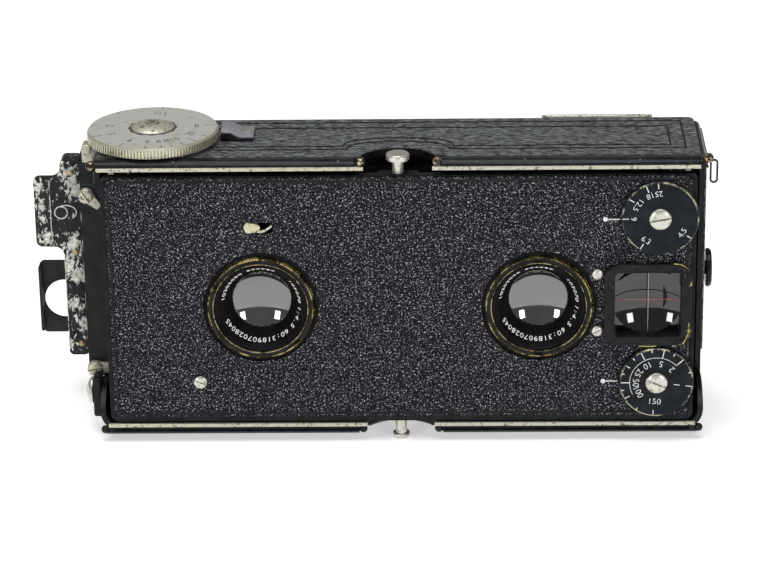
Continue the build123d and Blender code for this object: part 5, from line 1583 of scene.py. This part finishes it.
@dataclass(frozen=True)
class Stage:
    """Pale floor, soft lights and the camera."""

    eye: Point = (14.946, -673.64, 300.34)
    back: Point = (0.025915, -0.927745, 0.372306)
    roll: float = -0.912
    lens: float = 147.22

    def build(self) -> None:
        """Set up everything round the object."""
        self._camera()
        self._floor()
        self._lights()

    def _camera(self) -> None:
        """Camera at its measured place, with its roll."""
        back = Vector(self.back)
        right = (-back).cross(Vector((0, 0, 1))).normalized()
        up = right.cross(-back).normalized()
        roll = math.radians(self.roll)
        side = right * math.cos(roll) + up * math.sin(roll)
        head = up * math.cos(roll) - right * math.sin(roll)
        data = bpy.data.cameras.new("view")
        data.lens = self.lens
        data.sensor_width = 36
        data.clip_start, data.clip_end = 0.01, 20
        camera = bpy.data.objects.new("view", data)
        bpy.context.scene.collection.objects.link(camera)
        turn = Matrix((side, head, back)).transposed().to_4x4()
        camera.matrix_world = Matrix.Translation(Vector(self.eye) * MM) @ turn
        bpy.context.scene.camera = camera

    def _floor(self) -> None:
        """Wide sheet just under the lowest point."""
        Blank.alone()
        low = CAD_BOX[0].z - 0.0002
        bpy.ops.mesh.primitive_plane_add(size=8, location=(0, 0, low))
        floor = bpy.context.object
        floor.name = "floor"
        nodes = Nodes("floor_paper")
        nodes.set(
            Base_Color=(0.93, 0.93, 0.93), Roughness=0.9, Emission_Color=(1.0, 1.0, 1.0),
            Emission_Strength=0.45
        )
        floor.data.materials.append(nodes.material)

    def _lights(self) -> None:
        """Large soft boxes above and in front, on a pale surround."""
        world = bpy.data.worlds.new("surround")
        bpy.context.scene.world = world
        world.use_nodes = True
        surround = world.node_tree.nodes["Background"].inputs
        surround["Color"].default_value = (1, 1, 1, 1)
        surround["Strength"].default_value = 0.22
        aim = Vector((0, 0, 0.03))
        for name, place, size, power in (
            ("over", (-0.1, -0.1, 1.2), (1.1, 0.8), 11),
            ("front_left", (-0.65, -0.98, 0.27), (0.2, 0.3), 2.6),
            ("front_right", (0.65, -0.98, 0.29), (0.2, 0.3), 2.6),
        ):
            data = bpy.data.lights.new(name, "AREA")
            data.shape = "RECTANGLE"
            data.size, data.size_y = size
            data.energy = power
            light = bpy.data.objects.new(name, data)
            bpy.context.scene.collection.objects.link(light)
            light.location = place
            light.rotation_euler = (aim - Vector(place)).to_track_quat("-Z", "Y").to_euler()
        bpy.context.scene.view_settings.view_transform = "Standard"


APERTURE = FrontDial(
    name="aperture", body="aperture_knob", centre=(58.5, 53.0), radius=8.75,
    pointer=(46.3, 52.5, 49.6), digit=1.35, digit_radius=6.0,
    marks=(
        Mark(-34, "4.5", 1.2), Mark(-121.5, "6.3", 1.4), Mark(180, "9", 1.4),
        Mark(146, "12.5", 1.3), Mark(113, "18", 1.6), Mark(94, "25", 1.3),
    ),
)
SPEED = FrontDial(
    name="speed", body="speed_knob", centre=(58.3, 13.2), radius=8.5,
    pointer=(46.2, 13.1, 49.4), digit=1.5, digit_radius=4.75, ring=(6.1, 43, 208),
    slot_turn=-22.0,
    marks=(
        Mark(-7, "1", 1.5), Mark(18, "", 0.5), Mark(43, "2", 1.9), Mark(60, "", 0.7),
        Mark(78, "5", 1.9), Mark(98, "", 0.7), Mark(116, "10", 1.9), Mark(132, "", 0.7),
        Mark(149, "25", 1.1), Mark(164, "", 0.6), Mark(180, "50", 2.0), Mark(194, "", 0.6),
        Mark(208.5, "100", 1.3), Mark(236, "", 0.6), Mark(265, "150", 1.3),
    ),
)


def main() -> None:
    """Build every sub-assembly in order."""
    logging.basicConfig(level=logging.INFO, format="%(message)s")
    Stage().build()
    Blank.alone()
    for finish, nodes in NODE_FINISHES:
        for node in nodes:
            dress_node(node, finish)
    assemblies = (
        FocusDial(), APERTURE, SPEED,
        LensMount("left", -31.5, (150, -45)), LensMount("right", 31.5, (90, -90)),
        FrontPlate(), Finder(),
        Latch("upper_latch", 54.9, -45, True), Latch("lower_latch", 12.3, 0, False),
        TopCover(), SideFittings(), PlateHolder(), Bellows(),
    )
    for assembly in assemblies:
        assembly.build()
    Blank.alone()


if __name__ == "__main__":
    main()
